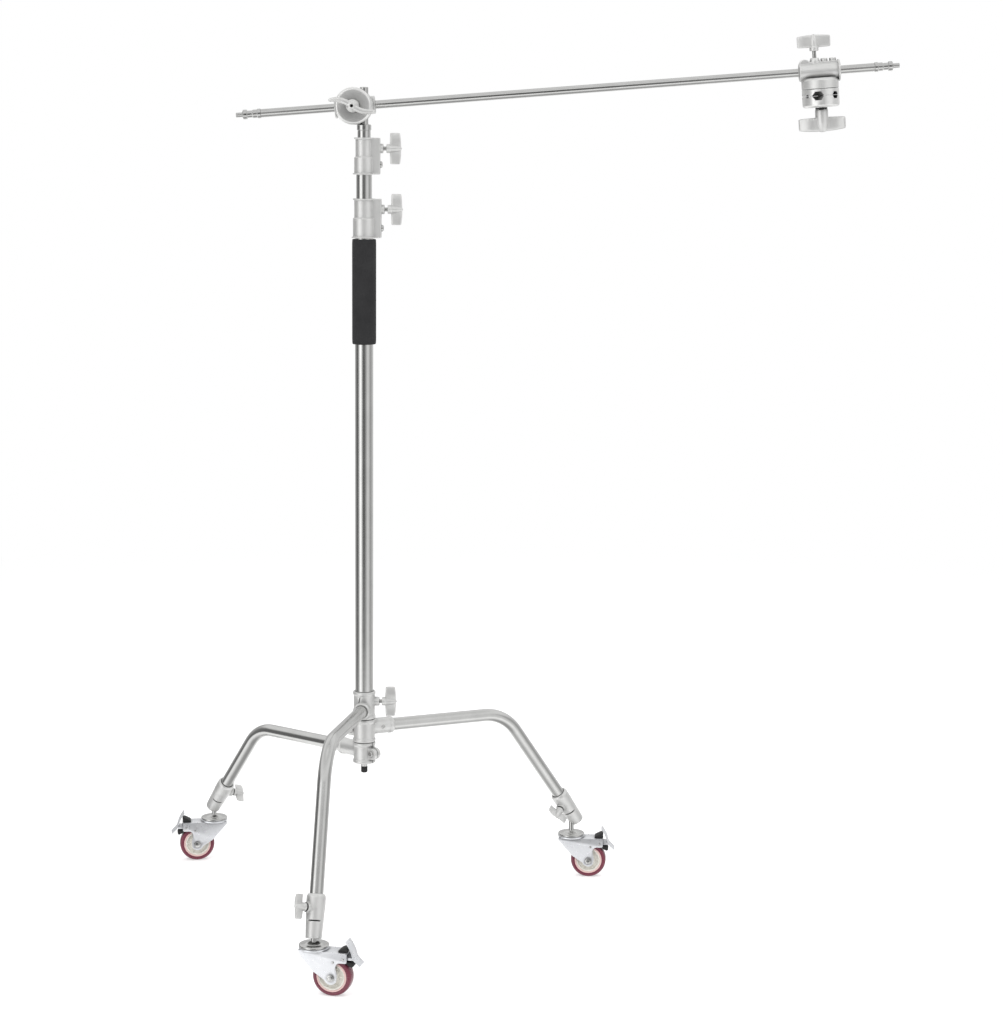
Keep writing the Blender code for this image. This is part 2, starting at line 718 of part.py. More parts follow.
def build_boom(root, looks):
    """The arm with its end spigots, held by the first head, with the second head near its far end."""
    steel = looks["steel"]
    tilt = about("Y", -ARM_TILT)
    centre = empty("boom_axis", root, shift(-PIN_OFFSET, SPLIT, HEAD_Z) @ tilt)
    along = about("Y", 90)
    tube = moved(pipe(ARM_R, ARM_R - WALL, ARM_LEFT, ARM_RIGHT, 16), along)
    piece("arm_tube", tube, steel, centre)
    plug_r = ARM_R - WALL - GAP
    profile = [
        (0, -0.022),
        (plug_r, -0.022),
        (plug_r, GAP),
        (ARM_R + 0.0012, GAP),
        (ARM_R + 0.0012, 0.006),
        (ARM_R, 0.007),
        (ARM_R, 0.015),
        (0.0068, 0.0165),
        (0.0068, 0.026),
        (0.0092, 0.027),
        (0.0092, 0.034),
        (0.0045, 0.036),
        (0.0045, 0.048),
        (0, 0.048),
    ]
    spigot = turned(profile, 16)
    piece("arm_spigot_right", moved(spigot.copy(), shift(x=ARM_RIGHT) @ along), steel, centre)
    piece("arm_spigot_left", moved(spigot, shift(x=ARM_LEFT) @ about("Y", -90)), steel, centre)
    head_1 = empty("head_1_axis", centre, about("X", 90))
    build_head("head_1", head_1, -ARM_TILT, looks)
    head_2 = empty("head_2_axis", centre, shift(x=HEAD_2_AT) @ about("X", 180))
    build_head("head_2", head_2, HEAD_2_PLATES_DEG, looks)


def centre_origin(root):
    """Puts the origin on the floor under the middle of the stand's box."""
    bpy.context.view_layer.update()
    corners = []
    for obj in bpy.data.objects:
        if obj.type == "MESH":
            corners += [obj.matrix_world @ vertex.co for vertex in obj.data.vertices]
    low = [min(c[i] for c in corners) for i in range(3)]
    high = [max(c[i] for c in corners) for i in range(3)]
    root.location = (-(low[0] + high[0]) / 2, -(low[1] + high[1]) / 2, -low[2])
    bpy.context.view_layer.update()


def main():
    clear_scene()
    looks = {
        "steel": material("stainless_steel", STEEL, 1.0, 0.22),
        "cast": material("satin_casting", CAST, 1.0, 0.42),
        "zinc": material("zinc_plate", ZINC, 1.0, 0.25),
        "foam": material("black_foam", BLACK, 0.0, 0.85),
        "black": material("black_rubber", BLACK, 0.0, 0.60),
        "tyre": material("maroon_tyre", MAROON, 0.0, 0.30),
        "hub": material("cream_hub", CREAM, 0.0, 0.40),
    }
    root = empty("stand", None, Matrix())
    build_base(root, looks)
    build_column(root, looks)
    build_boom(root, looks)
    centre_origin(root)


main()
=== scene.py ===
"""The looks of a rolling century stand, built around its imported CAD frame.

Every visible piece is remade here from fine, rounded meshes, at the places of the frame's joints and
nodes, and rides on the frame's bodies. Lengths are in metres, angles in degrees.
"""

import json
import math

import bmesh
import bpy
from mathutils import Matrix, Vector

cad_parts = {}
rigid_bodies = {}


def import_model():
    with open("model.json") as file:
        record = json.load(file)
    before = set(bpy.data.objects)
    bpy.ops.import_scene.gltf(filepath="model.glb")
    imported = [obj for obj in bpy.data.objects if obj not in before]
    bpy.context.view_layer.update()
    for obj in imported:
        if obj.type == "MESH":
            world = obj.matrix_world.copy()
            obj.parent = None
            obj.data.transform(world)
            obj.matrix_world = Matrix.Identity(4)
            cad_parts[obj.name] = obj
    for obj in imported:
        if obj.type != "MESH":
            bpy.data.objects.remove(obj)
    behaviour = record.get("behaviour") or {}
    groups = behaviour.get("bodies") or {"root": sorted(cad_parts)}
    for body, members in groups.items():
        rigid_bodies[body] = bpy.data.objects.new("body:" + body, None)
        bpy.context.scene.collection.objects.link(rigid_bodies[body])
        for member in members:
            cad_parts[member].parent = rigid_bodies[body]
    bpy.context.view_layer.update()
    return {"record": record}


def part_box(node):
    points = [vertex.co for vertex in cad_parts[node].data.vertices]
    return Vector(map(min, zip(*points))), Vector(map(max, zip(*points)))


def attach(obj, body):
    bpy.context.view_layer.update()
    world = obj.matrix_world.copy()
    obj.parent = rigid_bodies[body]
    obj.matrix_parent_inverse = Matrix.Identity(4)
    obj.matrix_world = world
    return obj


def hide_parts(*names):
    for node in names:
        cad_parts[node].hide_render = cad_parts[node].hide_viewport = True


# Camera: its place from the column's axis and the floor, its pitch and roll, and its focal length
CAMERA_FROM_COLUMN = (0.2683, -4.8293, 1.548)
CAMERA_PITCH = 8.7
CAMERA_ROLL = 0.465
FOCAL_MM = 87.88
SENSOR_MM = 36.0


# ---------------------------------------------------------------- shapes


def about(axis, degrees):
    return Matrix.Rotation(math.radians(degrees), 4, axis)


def shift(x=0.0, y=0.0, z=0.0):
    return Matrix.Translation((x, y, z))


def placed(origin, x, y, z):
    turned_frame = Matrix((x, y, z)).transposed().to_4x4()
    turned_frame.translation = origin
    return turned_frame


def mesh_from(shape):
    bmesh.ops.recalc_face_normals(shape, faces=shape.faces)
    mesh = bpy.data.meshes.new("shape")
    shape.to_mesh(mesh)
    shape.free()
    return mesh


def arc(centre, radius, start, end, steps):
    """Points on a circle between two angles, in degrees."""
    points = []
    for i in range(steps + 1):
        a = math.radians(start + (end - start) * i / steps)
        points.append((centre[0] + radius * math.cos(a), centre[1] + radius * math.sin(a)))
    return points


def eased(points, radius, closed=False, steps=3):
    """An outline with its corners rounded. A corner next to a short side takes a smaller radius."""
    if radius == 0:
        return [Vector(point) for point in points]
    count = len(points)
    made = []
    for i, point in enumerate(points):
        here = Vector(point)
        if not closed and i in (0, count - 1):
            made.append(here)
            continue
        before = Vector(points[i - 1]) - here
        after = Vector(points[(i + 1) % count]) - here
        corner = before.angle(after, math.pi) if before.length and after.length else math.pi
        if corner > math.radians(165):
            made.append(here)
            continue
        reach = min(radius, 0.45 * before.length, 0.45 * after.length)
        first = here + before.normalized() * reach
        last = here + after.normalized() * reach
        for k in range(steps + 1):
            t = k / steps
            made.append(first * (1 - t) ** 2 + here * 2 * t * (1 - t) + last * t ** 2)
    return made


def turned(profile, edge=0.0006, segments=64, hollow=False):
    """A solid of revolution about Z with rounded edges. The profile lists (radius, height)."""
    shape = bmesh.new()
    rings = []
    for radius, height in eased(profile, edge, closed=hollow):
        if radius < 1e-6:
            rings.append([shape.verts.new((0, 0, height))] * segments)
            continue
        ring = []
        for i in range(segments):
            a = 2 * math.pi * i / segments
            ring.append(shape.verts.new((radius * math.cos(a), radius * math.sin(a), height)))
        rings.append(ring)
    following = rings[1:] + rings[:1] if hollow else rings[1:]
    for below, above in zip(rings, following):
        for i in range(segments):
            j = (i + 1) % segments
            corners = [below[i], below[j], above[j], above[i]]
            face = [v for k, v in enumerate(corners) if v is not corners[k - 1]]
            if len(face) > 2:
                shape.faces.new(face)
    if not hollow:
        for ring in (rings[0], rings[-1]):
            if ring[0] is not ring[1]:
                shape.faces.new(ring)
    return mesh_from(shape)


def rod(radius, low, high, edge=0.0005, segments=48):
    return turned([(0, low), (radius, low), (radius, high), (0, high)], edge, segments)


def tube(outer, inner, low, high, edge=0.0004, segments=64):
    return turned([(outer, low), (outer, high), (inner, high), (inner, low)], edge, segments, hollow=True)


def prism(outline, low, high):
    """An outline of (x, y) points, extruded along Z."""
    shape = bmesh.new()
    floor = [shape.verts.new((x, y, low)) for x, y in outline]
    roof = [shape.verts.new((x, y, high)) for x, y in outline]
    shape.faces.new(floor)
    shape.faces.new(roof)
    for i in range(len(outline)):
        j = (i + 1) % len(outline)
        shape.faces.new((floor[i], floor[j], roof[j], roof[i]))
    return mesh_from(shape)


def block(low, high):
    outline = [(low[0], low[1]), (high[0], low[1]), (high[0], high[1]), (low[0], high[1])]
    return prism(outline, low[2], high[2])


def swept(points, outer, inner, segments=40):
    """A pipe along points in one upright plane (y = 0), with an outer wall, an inner wall and two ends."""
    shape = bmesh.new()
    walls = []
    for radius in (outer, inner):
        rings = []
        for k, point in enumerate(points):
            along = points[min(k + 1, len(points) - 1)] - points[max(k - 1, 0)]
            side = Vector((0, 1, 0))
            up = along.normalized().cross(side)
            ring = []
            for i in range(segments):
                a = 2 * math.pi * i / segments
                ring.append(shape.verts.new(point + radius * (math.cos(a) * side + math.sin(a) * up)))
            rings.append(ring)
        walls.append(rings)
    for rings in walls:
        for below, above in zip(rings, rings[1:]):
            for i in range(segments):
                j = (i + 1) % segments
                shape.faces.new((below[i], below[j], above[j], above[i]))
    for end in (0, -1):
        for i in range(segments):
            j = (i + 1) % segments
            ring = (walls[0][end][i], walls[0][end][j], walls[1][end][j], walls[1][end][i])
            shape.faces.new(ring)
    return mesh_from(shape)


def moved(mesh, matrix):
    mesh.transform(matrix)
    return mesh


def combined(base, others, operation):
    """The base mesh joined with, or cut by, the other meshes in turn, with exact Booleans."""
    for other in others:
        pair = [bpy.data.objects.new("helper", mesh) for mesh in (base, other)]
        for helper in pair:
            bpy.context.scene.collection.objects.link(helper)
        modifier = pair[0].modifiers.new("combine", "BOOLEAN")
        modifier.operation = operation
        modifier.object = pair[1]
        base = evaluated(pair[0])
        for helper in pair:
            bpy.data.objects.remove(helper, do_unlink=True)
    return base


def evaluated(obj):
    bpy.context.view_layer.update()
    graph = bpy.context.evaluated_depsgraph_get()
    return bpy.data.meshes.new_from_object(obj.evaluated_get(graph))


def joined(base, *others):
    return combined(base, others, "UNION")


def cut(base, *others):
    return combined(base, others, "DIFFERENCE")


def gathered(*meshes):
    """Separate closed meshes in one mesh, for a piece that is drawn as several touching bodies."""
    shape = bmesh.new()
    for mesh in meshes:
        shape.from_mesh(mesh)
    return mesh_from(shape)


def cast(mesh, edge=0.0009, voxel=0.0007, passes=1):
    """Softens a mesh as sand casting does: its edges and inside corners become fillets."""
    helper = bpy.data.objects.new("helper", mesh)
    bpy.context.scene.collection.objects.link(helper)
    remesh = helper.modifiers.new("remesh", "REMESH")
    remesh.mode = "VOXEL"
    remesh.voxel_size = voxel
    smooth = helper.modifiers.new("smooth", "SMOOTH")
    smooth.factor = 0.5
    smooth.iterations = passes + round(edge / voxel)
    thin = helper.modifiers.new("thin", "DECIMATE")
    thin.ratio = 0.35
    result = evaluated(helper)
    bpy.data.objects.remove(helper, do_unlink=True)
    return result


def bevelled(mesh, width=0.0005, segments=2, angle=35):
    """Rounds the sharp edges of a mesh."""
    helper = bpy.data.objects.new("helper", mesh)
    bpy.context.scene.collection.objects.link(helper)
    bevel = helper.modifiers.new("bevel", "BEVEL")
    bevel.width = width
    bevel.segments = segments
    bevel.limit_method = "ANGLE"
    bevel.angle_limit = math.radians(angle)
    result = evaluated(helper)
    bpy.data.objects.remove(helper, do_unlink=True)
    return result


# ---------------------------------------------------------------- materials


def node(tree, kind, inputs=None, **settings):
    """A shader node with its settings, and its inputs set or linked."""
    made = tree.nodes.new(kind)
    for name, value in settings.items():
        setattr(made, name, value)
    for name, value in (inputs or {}).items():
        if hasattr(value, "links"):
            tree.links.new(value, made.inputs[name])
        else:
            made.inputs[name].default_value = value
    return made


def surface(name, colour_low, colour_high, rough_low, rough_high, scale, stretch=(1, 1, 1), bump=0.0,
            bump_scale=None, bump_distance=0.0002, metallic=0.0, voronoi=False, shade=None, **shader_values):
    """A finish whose colour and roughness vary with noise in the piece's own frame, with a fine bump.
    Where a shade distance is given, painted shade darkens the base colour in corners and hollows closer than
    that."""
    material = bpy.data.materials.new(name)
    material.use_nodes = True
    tree = material.node_tree
    shader = tree.nodes["Principled BSDF"]
    where = node(tree, "ShaderNodeTexCoord").outputs["Object"]
    placed_at = node(tree, "ShaderNodeMapping", {"Vector": where, "Scale": stretch}).outputs["Vector"]
    speckle = {"Vector": placed_at, "Scale": scale, "Detail": 5.0}
    grain = node(tree, "ShaderNodeTexNoise", speckle).outputs["Fac"]
    blotch = node(tree, "ShaderNodeTexNoise", {"Vector": where, "Scale": 35.0, "Detail": 2.0}).outputs["Fac"]
    colour = node(tree, "ShaderNodeMix", data_type="RGBA")
    tree.links.new(blotch, colour.inputs[0])
    colour.inputs[6].default_value = (*colour_low, 1)
    colour.inputs[7].default_value = (*colour_high, 1)
    finish = colour.outputs[2]
    # Painted shade: ambient occlusion darkens the base colour in corners and hollows.
    if shade:
        painted_shade_inputs = {"Color": finish, "Distance": shade}
        finish = node(tree, "ShaderNodeAmbientOcclusion", painted_shade_inputs).outputs["Color"]
    tree.links.new(finish, shader.inputs["Base Color"])
    limits = {"Value": grain, "From Min": 0.3, "From Max": 0.7, "To Min": rough_low, "To Max": rough_high}
    rough = node(tree, "ShaderNodeMapRange", limits).outputs["Result"]
    tree.links.new(rough, shader.inputs["Roughness"])
    if bump:
        if voronoi:
            cells = node(tree, "ShaderNodeTexVoronoi", {"Vector": where, "Scale": bump_scale})
            height = cells.outputs["Distance"]
        else:
            fine = {"Vector": placed_at, "Scale": bump_scale or scale, "Detail": 4.0}
            height = node(tree, "ShaderNodeTexNoise", fine).outputs["Fac"]
        raised = node(tree, "ShaderNodeBump", {"Height": height, "Strength": bump, "Distance": bump_distance})
        tree.links.new(raised.outputs["Normal"], shader.inputs["Normal"])
    shader.inputs["Metallic"].default_value = metallic
    for socket, value in shader_values.items():
        shader.inputs[socket.replace("_", " ")].default_value = value
    return material


def make_looks():
    along = (1, 1, 0.02)
    return {
        "steel": surface("stainless steel", (0.60, 0.60, 0.59), (0.72, 0.72, 0.71), 0.15, 0.24, 900.0, along,
                         bump=0.05, bump_scale=1800.0, bump_distance=0.00005, metallic=1.0),
        "pins": surface("machined steel", (0.58, 0.58, 0.57), (0.70, 0.70, 0.69), 0.16, 0.26, 1200.0,
                        (0.05, 0.05, 1), bump=0.08, bump_scale=2500.0, bump_distance=0.00005, metallic=1.0),
        # cast, plates and zinc darken their base colour with painted shade in corners and hollows; the
        # plates' longer shade distance paints their grooves dark.
        "cast": surface("satin casting", (0.68, 0.68, 0.67), (0.78, 0.78, 0.77), 0.40, 0.48, 700.0,
                        shade=0.010, bump=0.10, bump_scale=1600.0, bump_distance=0.00010, metallic=0.80),
        "plates": surface("turned casting", (0.70, 0.70, 0.69), (0.80, 0.80, 0.79), 0.28, 0.36, 700.0,
                          shade=0.022, bump=0.10, bump_scale=1600.0, bump_distance=0.00010, metallic=0.74),
        "zinc": surface("bright zinc plate", (0.74, 0.75, 0.78), (0.82, 0.83, 0.85), 0.26, 0.34, 160.0,
                        shade=0.006, bump=0.05, bump_scale=420.0, bump_distance=0.0001, metallic=0.75),
        "foam": surface("black foam", (0.010, 0.010, 0.011), (0.022, 0.022, 0.023), 0.74, 0.95, 800.0,
                        bump=0.75, bump_scale=620.0, bump_distance=0.0006, voronoi=True),
        "rubber": surface("black rubber", (0.008, 0.008, 0.008), (0.020, 0.020, 0.020), 0.50, 0.70, 600.0,
                          bump=0.25, bump_scale=1300.0, bump_distance=0.0001),
        "tyre": surface("maroon polyurethane", (0.130, 0.024, 0.042), (0.170, 0.034, 0.056), 0.24, 0.36,
                        300.0, bump=0.12, bump_scale=450.0, bump_distance=0.0001, Coat_Weight=0.2,
                        Coat_Roughness=0.18),
        "band": surface("pale pink plastic", (0.62, 0.42, 0.40), (0.70, 0.50, 0.47), 0.34, 0.48, 300.0,
                        bump=0.10, bump_scale=700.0, bump_distance=0.0001),
        "hub": surface("cream plastic", (0.60, 0.58, 0.53), (0.70, 0.68, 0.62), 0.30, 0.46, 300.0,
                       bump=0.10, bump_scale=700.0, bump_distance=0.0001),
    }


# ---------------------------------------------------------------- stage


# The studio round the stand, as brightness against the direction in degrees from the camera's side,
# positive to the camera's right, and against height above the horizon
ROUND_LIGHT = ((-180, 0.60), (-134, 0.46), (-107, 0.22), (-87, 0.10), (-70, 0.50), (-50, 1.60), (-36, 1.45),
               (-24, 0.60), (-12, 0.17), (0, 0.10), (13, 0.22), (27, 0.50), (45, 0.86), (60, 0.82),
               (87, 0.42), (107, 0.52), (135, 0.78), (180, 0.60))
HIGH_LIGHT = ((-90, 0.40), (-70, 0.45), (-56, 0.80), (-42, 1.15), (-20, 1.20), (-5, 0.84), (9, 0.62),
              (24, 0.84), (38, 0.88), (66, 0.72), (90, 0.95))


def ramp(tree, value, low, high, stops):
    """A colour ramp over a value's range, with one grey stop for each (value, brightness)."""
    place = node(tree, "ShaderNodeMapRange", {"Value": value, "From Min": low, "From Max": high})
    made = node(tree, "ShaderNodeValToRGB", {"Fac": place.outputs["Result"]})
    made.color_ramp.interpolation = "EASE"
    elements = made.color_ramp.elements
    while len(elements) < len(stops):
        elements.new(0.5)
    for element, (at, bright) in zip(elements, stops):
        element.position = (at - low) / (high - low)
        element.color = (bright, bright, bright, 1)
    return made.outputs["Color"]


def make_world():
    """A studio of soft light and dark panels, which the bright metal mirrors."""
    world = bpy.data.worlds.new("studio")
    world.use_nodes = True
    bpy.context.scene.world = world
    tree = world.node_tree
    sight = node(tree, "ShaderNodeTexCoord").outputs["Generated"]
    parts = node(tree, "ShaderNodeSeparateXYZ", {"Vector": sight}).outputs
    back = node(tree, "ShaderNodeMath", {0: parts["Y"], 1: -1.0}, operation="MULTIPLY").outputs[0]
    turn = node(tree, "ShaderNodeMath", {0: parts["X"], 1: back}, operation="ARCTAN2").outputs[0]
    turn = node(tree, "ShaderNodeMath", {0: turn}, operation="DEGREES").outputs[0]
    lift = node(tree, "ShaderNodeMath", {0: parts["Z"]}, operation="ARCSINE").outputs[0]
    lift = node(tree, "ShaderNodeMath", {0: lift}, operation="DEGREES").outputs[0]
    round_light = ramp(tree, turn, -180, 180, ROUND_LIGHT)
    high_light = ramp(tree, lift, -90, 90, HIGH_LIGHT)
    steep = node(tree, "ShaderNodeMath", {0: lift}, operation="ABSOLUTE").outputs[0]
    share = node(tree, "ShaderNodeMapRange", {"Value": steep, "From Min": 17.0, "From Max": 28.0})
    share.interpolation_type = "SMOOTHSTEP"
    blend = node(tree, "ShaderNodeMix", data_type="RGBA")
    tree.links.new(share.outputs["Result"], blend.inputs[0])
    tree.links.new(round_light, blend.inputs[6])
    tree.links.new(high_light, blend.inputs[7])
    tree.links.new(blend.outputs[2], tree.nodes["Background"].inputs["Color"])
    tree.nodes["Background"].inputs["Strength"].default_value = 1.0


def glow(name, colour, strength):
    material = bpy.data.materials.new(name)
    material.use_nodes = True
    shader = material.node_tree.nodes["Principled BSDF"]
    shader.inputs["Base Color"].default_value = (0, 0, 0, 1)
    shader.inputs["Specular IOR Level"].default_value = 0.0
    shader.inputs["Emission Color"].default_value = (*colour, 1)
    shader.inputs["Emission Strength"].default_value = strength
    return material


def area_light(name, place, aim, size, watts):
    light = bpy.data.lights.new(name, "AREA")
    light.shape = "DISK"
    light.size = size
    light.energy = watts
    lamp = bpy.data.objects.new(name, light)
    bpy.context.scene.collection.objects.link(lamp)
    lamp.location = place
    lamp.rotation_euler = (Vector(aim) - Vector(place)).to_track_quat("-Z", "Y").to_euler()
    lamp.visible_glossy = False


def floor_finish():
    """A pale matt floor that brightens, far from the stand, to the white of the backdrop."""
    material = surface("pale floor", (0.60, 0.60, 0.60), (0.62, 0.62, 0.62), 0.85, 0.95, 8.0)
    tree = material.node_tree
    shader = tree.nodes["Principled BSDF"]
    shader.inputs["Emission Color"].default_value = (1, 1, 1, 1)
    shader.inputs["Emission Strength"].default_value = 0.42
    where = node(tree, "ShaderNodeTexCoord").outputs["Object"]
    reach = node(tree, "ShaderNodeVectorMath", {0: where}, operation="LENGTH").outputs["Value"]
    limits = {"Value": reach, "From Min": 0.7, "From Max": 4.5}
    far = node(tree, "ShaderNodeMapRange", limits, interpolation_type="SMOOTHSTEP").outputs["Result"]
    white = node(tree, "ShaderNodeEmission").outputs["Emission"]
    blend = node(tree, "ShaderNodeMixShader", {0: far, 1: shader.outputs["BSDF"], 2: white}).outputs["Shader"]
    tree.links.new(blend, tree.nodes["Material Output"].inputs["Surface"])
    return material


def make_stage(column):
    """A pale floor, a plain backdrop all round, soft lights and the camera."""
    make_world()
    floor_mesh = rod(28.0, -0.02, 0.0, edge=0.0, segments=96)
    floor = bpy.data.objects.new("floor", floor_mesh)
    floor_mesh.materials.append(floor_finish())
    floor.visible_glossy = False
    shape = bmesh.new()
    bmesh.ops.create_uvsphere(shape, u_segments=48, v_segments=24, radius=30.0)
    backdrop = bpy.data.objects.new("backdrop", mesh_from(shape))
    backdrop.data.materials.append(glow("white backdrop", (1, 1, 1), 1.0))
    backdrop.visible_diffuse = False
    backdrop.visible_glossy = False
    backdrop.visible_transmission = False
    backdrop.visible_shadow = False
    for prop in (floor, backdrop):
        bpy.context.scene.collection.objects.link(prop)
    area_light("key", (-2.2, -3.0, 4.2), (0, 0, 0.7), 2.6, 130)
    area_light("fill", (2.8, -2.2, 3.4), (0, 0, 0.7), 2.6, 80)
    area_light("back", (0.4, 3.2, 4.0), (0, 0, 0.7), 2.6, 80)
    bpy.context.scene.view_settings.view_transform = "Standard"
    lens = bpy.data.cameras.new("camera")
    lens.lens = FOCAL_MM
    lens.sensor_width = SENSOR_MM
    camera = bpy.data.objects.new("camera", lens)
    bpy.context.scene.collection.objects.link(camera)
    level = about("X", 90 - CAMERA_PITCH) @ about("Z", CAMERA_ROLL)
    camera.matrix_world = shift(*(Vector((column.x, column.y, 0)) + Vector(CAMERA_FROM_COLUMN))) @ level
    bpy.context.scene.camera = camera


# ---------------------------------------------------------------- sizes shared with the frame's solids

COLUMN_R, MID_R, TOP_R, LEG_R, PIN_R, ARM_R = 0.0175, 0.0150, 0.0125, 0.0125, 0.0080, 0.0080
WALL = 0.0016
GAP = 0.0003
STUD_Z = 0.2966
LOW_Z = 0.3048
MID_Z = 0.3475
SLIDE_Z = 0.3943
SLIDE_TOP_Z = 0.4499
SLIDE_KNOB_Z = 0.4287
SLIDE_KNOB_X = 0.0350
# The small knobs' stems, and how far out the socket's and the clamps' knobs stand
KNOB_STEM_R = 0.0040
SLIDE_STEM = 0.0150
SOCKET_STEM = 0.0090
SOCKET_KNOB_X = 0.0245
KNOB_STANDOFF = 0.0120
CASTING_R = 0.0215
COLLAR_WALL = 0.0040
SHOULDER = 0.0040
STEP_SHARE = {"lower": 0.508, "upper": 0.4736}
TOP_RING_R = 0.0137

# Legs: direction, height at the column, bend (reach, height), foot (reach, height), casting's socket length
LEGS = {
    "front": (-97.5, 0.4128, (0.373, 0.431), (0.494, 0.1030), 0.036),
    "left": (134.0, 0.3300, (0.3345, 0.314), (0.494, 0.1130), 0.068),
    "right": (31.0, 0.3765, (0.323, 0.367), (0.503, 0.1170), 0.062),
}
LUG_DEG = {"left": -175.0, "right": 135.0}
CASTINGS = {"front": "sliding_collar", "left": "low_casting", "right": "mid_casting"}
LEG_BODY = {"front": "sliding_leg", "left": "stand", "right": "folding_leg"}
LEG_START = 0.0225
BEND_R = 0.095
SOCKET_LENGTH = 0.080
SOCKET_TOP_R = 0.0176
SOCKET_END_R = 0.0148
SOCKET_BORE = 0.044
SOCKET_KNOB_AT = 0.055
KNOB_SIDE_DEG = {"front": -40.0, "left": -115.0, "right": -150.0}
KNOB_TURN_DEG = {"front": 0.0, "left": 90.0, "right": 20.0}

# Casters
TRAIL = 0.0366
WHEEL_R = 0.0365
TYRE_HALF = 0.0120
HUB_R = 0.0277
AXLE_R = 0.0040
STEM_R = 0.0050
STEM_TOP = 0.128
RACE_R = 0.0275
FORK_TOP = 0.0840
RACE_TOP = FORK_TOP + 0.0045
FORK_PLATE = 0.0024
FORK_HALF = 0.0180
PEDAL_S = 0.0600
PEDAL_Z = 0.0730
RIVETS = ((0.0410, 0.0660), (PEDAL_S, PEDAL_Z))
BRAKE_WEDGE = ((0.0495, 0.0845), (0.0670, 0.0845), (0.0670, 0.0945), (0.0600, 0.0925), (0.0495, 0.0870))
BRAKE_SHOE = ((0.0610, 0.0680), (0.0760, 0.0655), (0.0785, 0.0600), (0.0755, 0.0575), (0.0690, 0.0600),
              (0.0620, 0.0655))

# Knobs: half span of the wing, its depth along the axis, hub radius, hub length, and how far the wing
# bows to each side
SMALL_KNOB = (0.0297, 0.0215, 0.0086, 0.0290, 0.0018)
SOCKET_KNOB = (0.0225, 0.0170, 0.0078, 0.0240, 0.0014)
ARM_SCREW_KNOB = (0.0320, 0.0245, 0.0086, 0.0320, 0.0019)
LARGE_KNOB = (0.0450, 0.0275, 0.0125, 0.0430, -0.0050)

# Grip heads, along the head's own axis from the middle of the arm
PLATE_R = 0.0355
BODY_FACE = 0.0330
SPLIT = 0.0464
OUTER_FACE = 0.0685
WASHER = 0.0040
PIN_OFFSET = 0.0200
BARREL_R = 0.0172
BARREL_HALF = 0.0390
BOLT_R = 0.0050
GROOVES = (
    (0.0083, PIN_OFFSET, 0.0),
    (0.0066, 0.0147, 180.0),
    (0.0034, 0.0100, -90.0),
    (0.0050, 0.0145, 90.0),
)
SCREW_X = -0.0080
SCREW_BOSS = 0.0260
SCREW_STANDOFF = 0.0130
SCREW_R = 0.0040
ARM_TILT = 4.70
ARM_LEFT = -0.182
ARM_RIGHT = 1.001
HEAD_2_PLATES_DEG = 159.0
BODY_TURN_DEG = {"head_1": 180.0, "head_2": 0.0}
HANDLE_DEG = {"head_1": -18.0, "head_2": 5.0}


# ---------------------------------------------------------------- placing


def place(name, mesh, matrix, body, slot_name, look, *nodes, sharp=40):
    """Puts a piece in the frame with its look, on its body, in the place of the CAD nodes named."""
    mesh.name = name
    mesh.materials.clear()
    mesh.materials.append(look)
    mesh.shade_smooth()
    mesh.set_sharp_from_angle(angle=math.radians(sharp))
    made = bpy.data.objects.new(name, mesh)
    bpy.context.scene.collection.objects.link(made)
    made.matrix_world = matrix
    if nodes:
        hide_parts(*nodes)
    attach(made, body)
    return made


# ---------------------------------------------------------------- knobs and screws


def wing(half_span, depth, thickness, curve, low, crown):
    """A knob's wing: a flat S seen along its axis, with rounded ends and edges and a crowned top."""
    steps, around = 28, 24
    shape = bmesh.new()
    rings = []
    for i in range(steps + 1):
        t = math.sin(math.pi * (i / steps - 0.5))
        end = math.sqrt(max(1 - abs(t) ** 36, 0.0004))
        half_thick = thickness / 2 * (1.0 - 0.30 * t * t) * (0.3 + 0.7 * end)
        top = low + depth - crown * t * t
        bottom = low + 0.3 * crown * t * t
        half_deep = (top - bottom) / 2 * (0.8 + 0.2 * end)
        middle = (top + bottom) / 2
        ring = []
        for k in range(around):
            a = 2 * math.pi * k / around
            c, s = math.cos(a), math.sin(a)
            across = math.copysign(abs(c) ** 0.55, c) * half_thick
            deep = math.copysign(abs(s) ** 0.45, s) * half_deep
            bow = curve * math.sin(math.pi * t)
            ring.append(shape.verts.new((half_span * t, bow + across, middle + deep)))
        rings.append(ring)
    for below, above in zip(rings, rings[1:]):
        for k in range(around):
            j = (k + 1) % around
            shape.faces.new((below[k], below[j], above[j], above[k]))
    shape.faces.new(rings[0])
    shape.faces.new(rings[-1])
    return mesh_from(shape)


def knob_mesh(sizes):
    """A T-knob's cast body about Z: the wing on a tapered hub, whose foot is at z = 0."""
    half_span, depth, hub_r, hub_length, bow = sizes
    blade = wing(half_span, depth, 0.22 * half_span, bow, hub_length - depth - 0.001, 0.10 * depth)
    hub = turned([(0, 0), (hub_r, 0), (hub_r, 0.22 * hub_length), (hub_r * 0.86, 0.27 * hub_length),
                  (hub_r * 0.80, 0.62 * hub_length), (hub_r * 0.52, hub_length - 0.002),
                  (0, hub_length + 0.0008)], 0.0012, 40)
    return cast(joined(blade, hub), voxel=half_span / 62)


def thread(radius, low, high, pitch=0.00125):
    """A screw's rolled thread as close rings about Z."""
    points = [(0, low), (radius - 0.0005, low)]
    turns = int((high - low - 0.0006) / pitch)
    for i in range(turns):
        z = low + 0.0003 + i * pitch
        points += [(radius, z + pitch * 0.35), (radius, z + pitch * 0.6), (radius - 0.0005, z + pitch)]
    points += [(radius - 0.0005, high), (0, high)]
    return turned(points, 0.0, 28)


def place_knob(name, mesh, frame_matrix, stem_r, stem_length, looks):
    """A knob with its threaded stem, two pieces in place of one CAD node, on the body of the same name."""
    place(name + "_body", mesh, frame_matrix, name, "satin_casting", looks["cast"], name)
    stem = thread(stem_r, -stem_length, 0.002)
    place(name + "_stem", stem, frame_matrix, name, "satin_casting", looks["pins"])


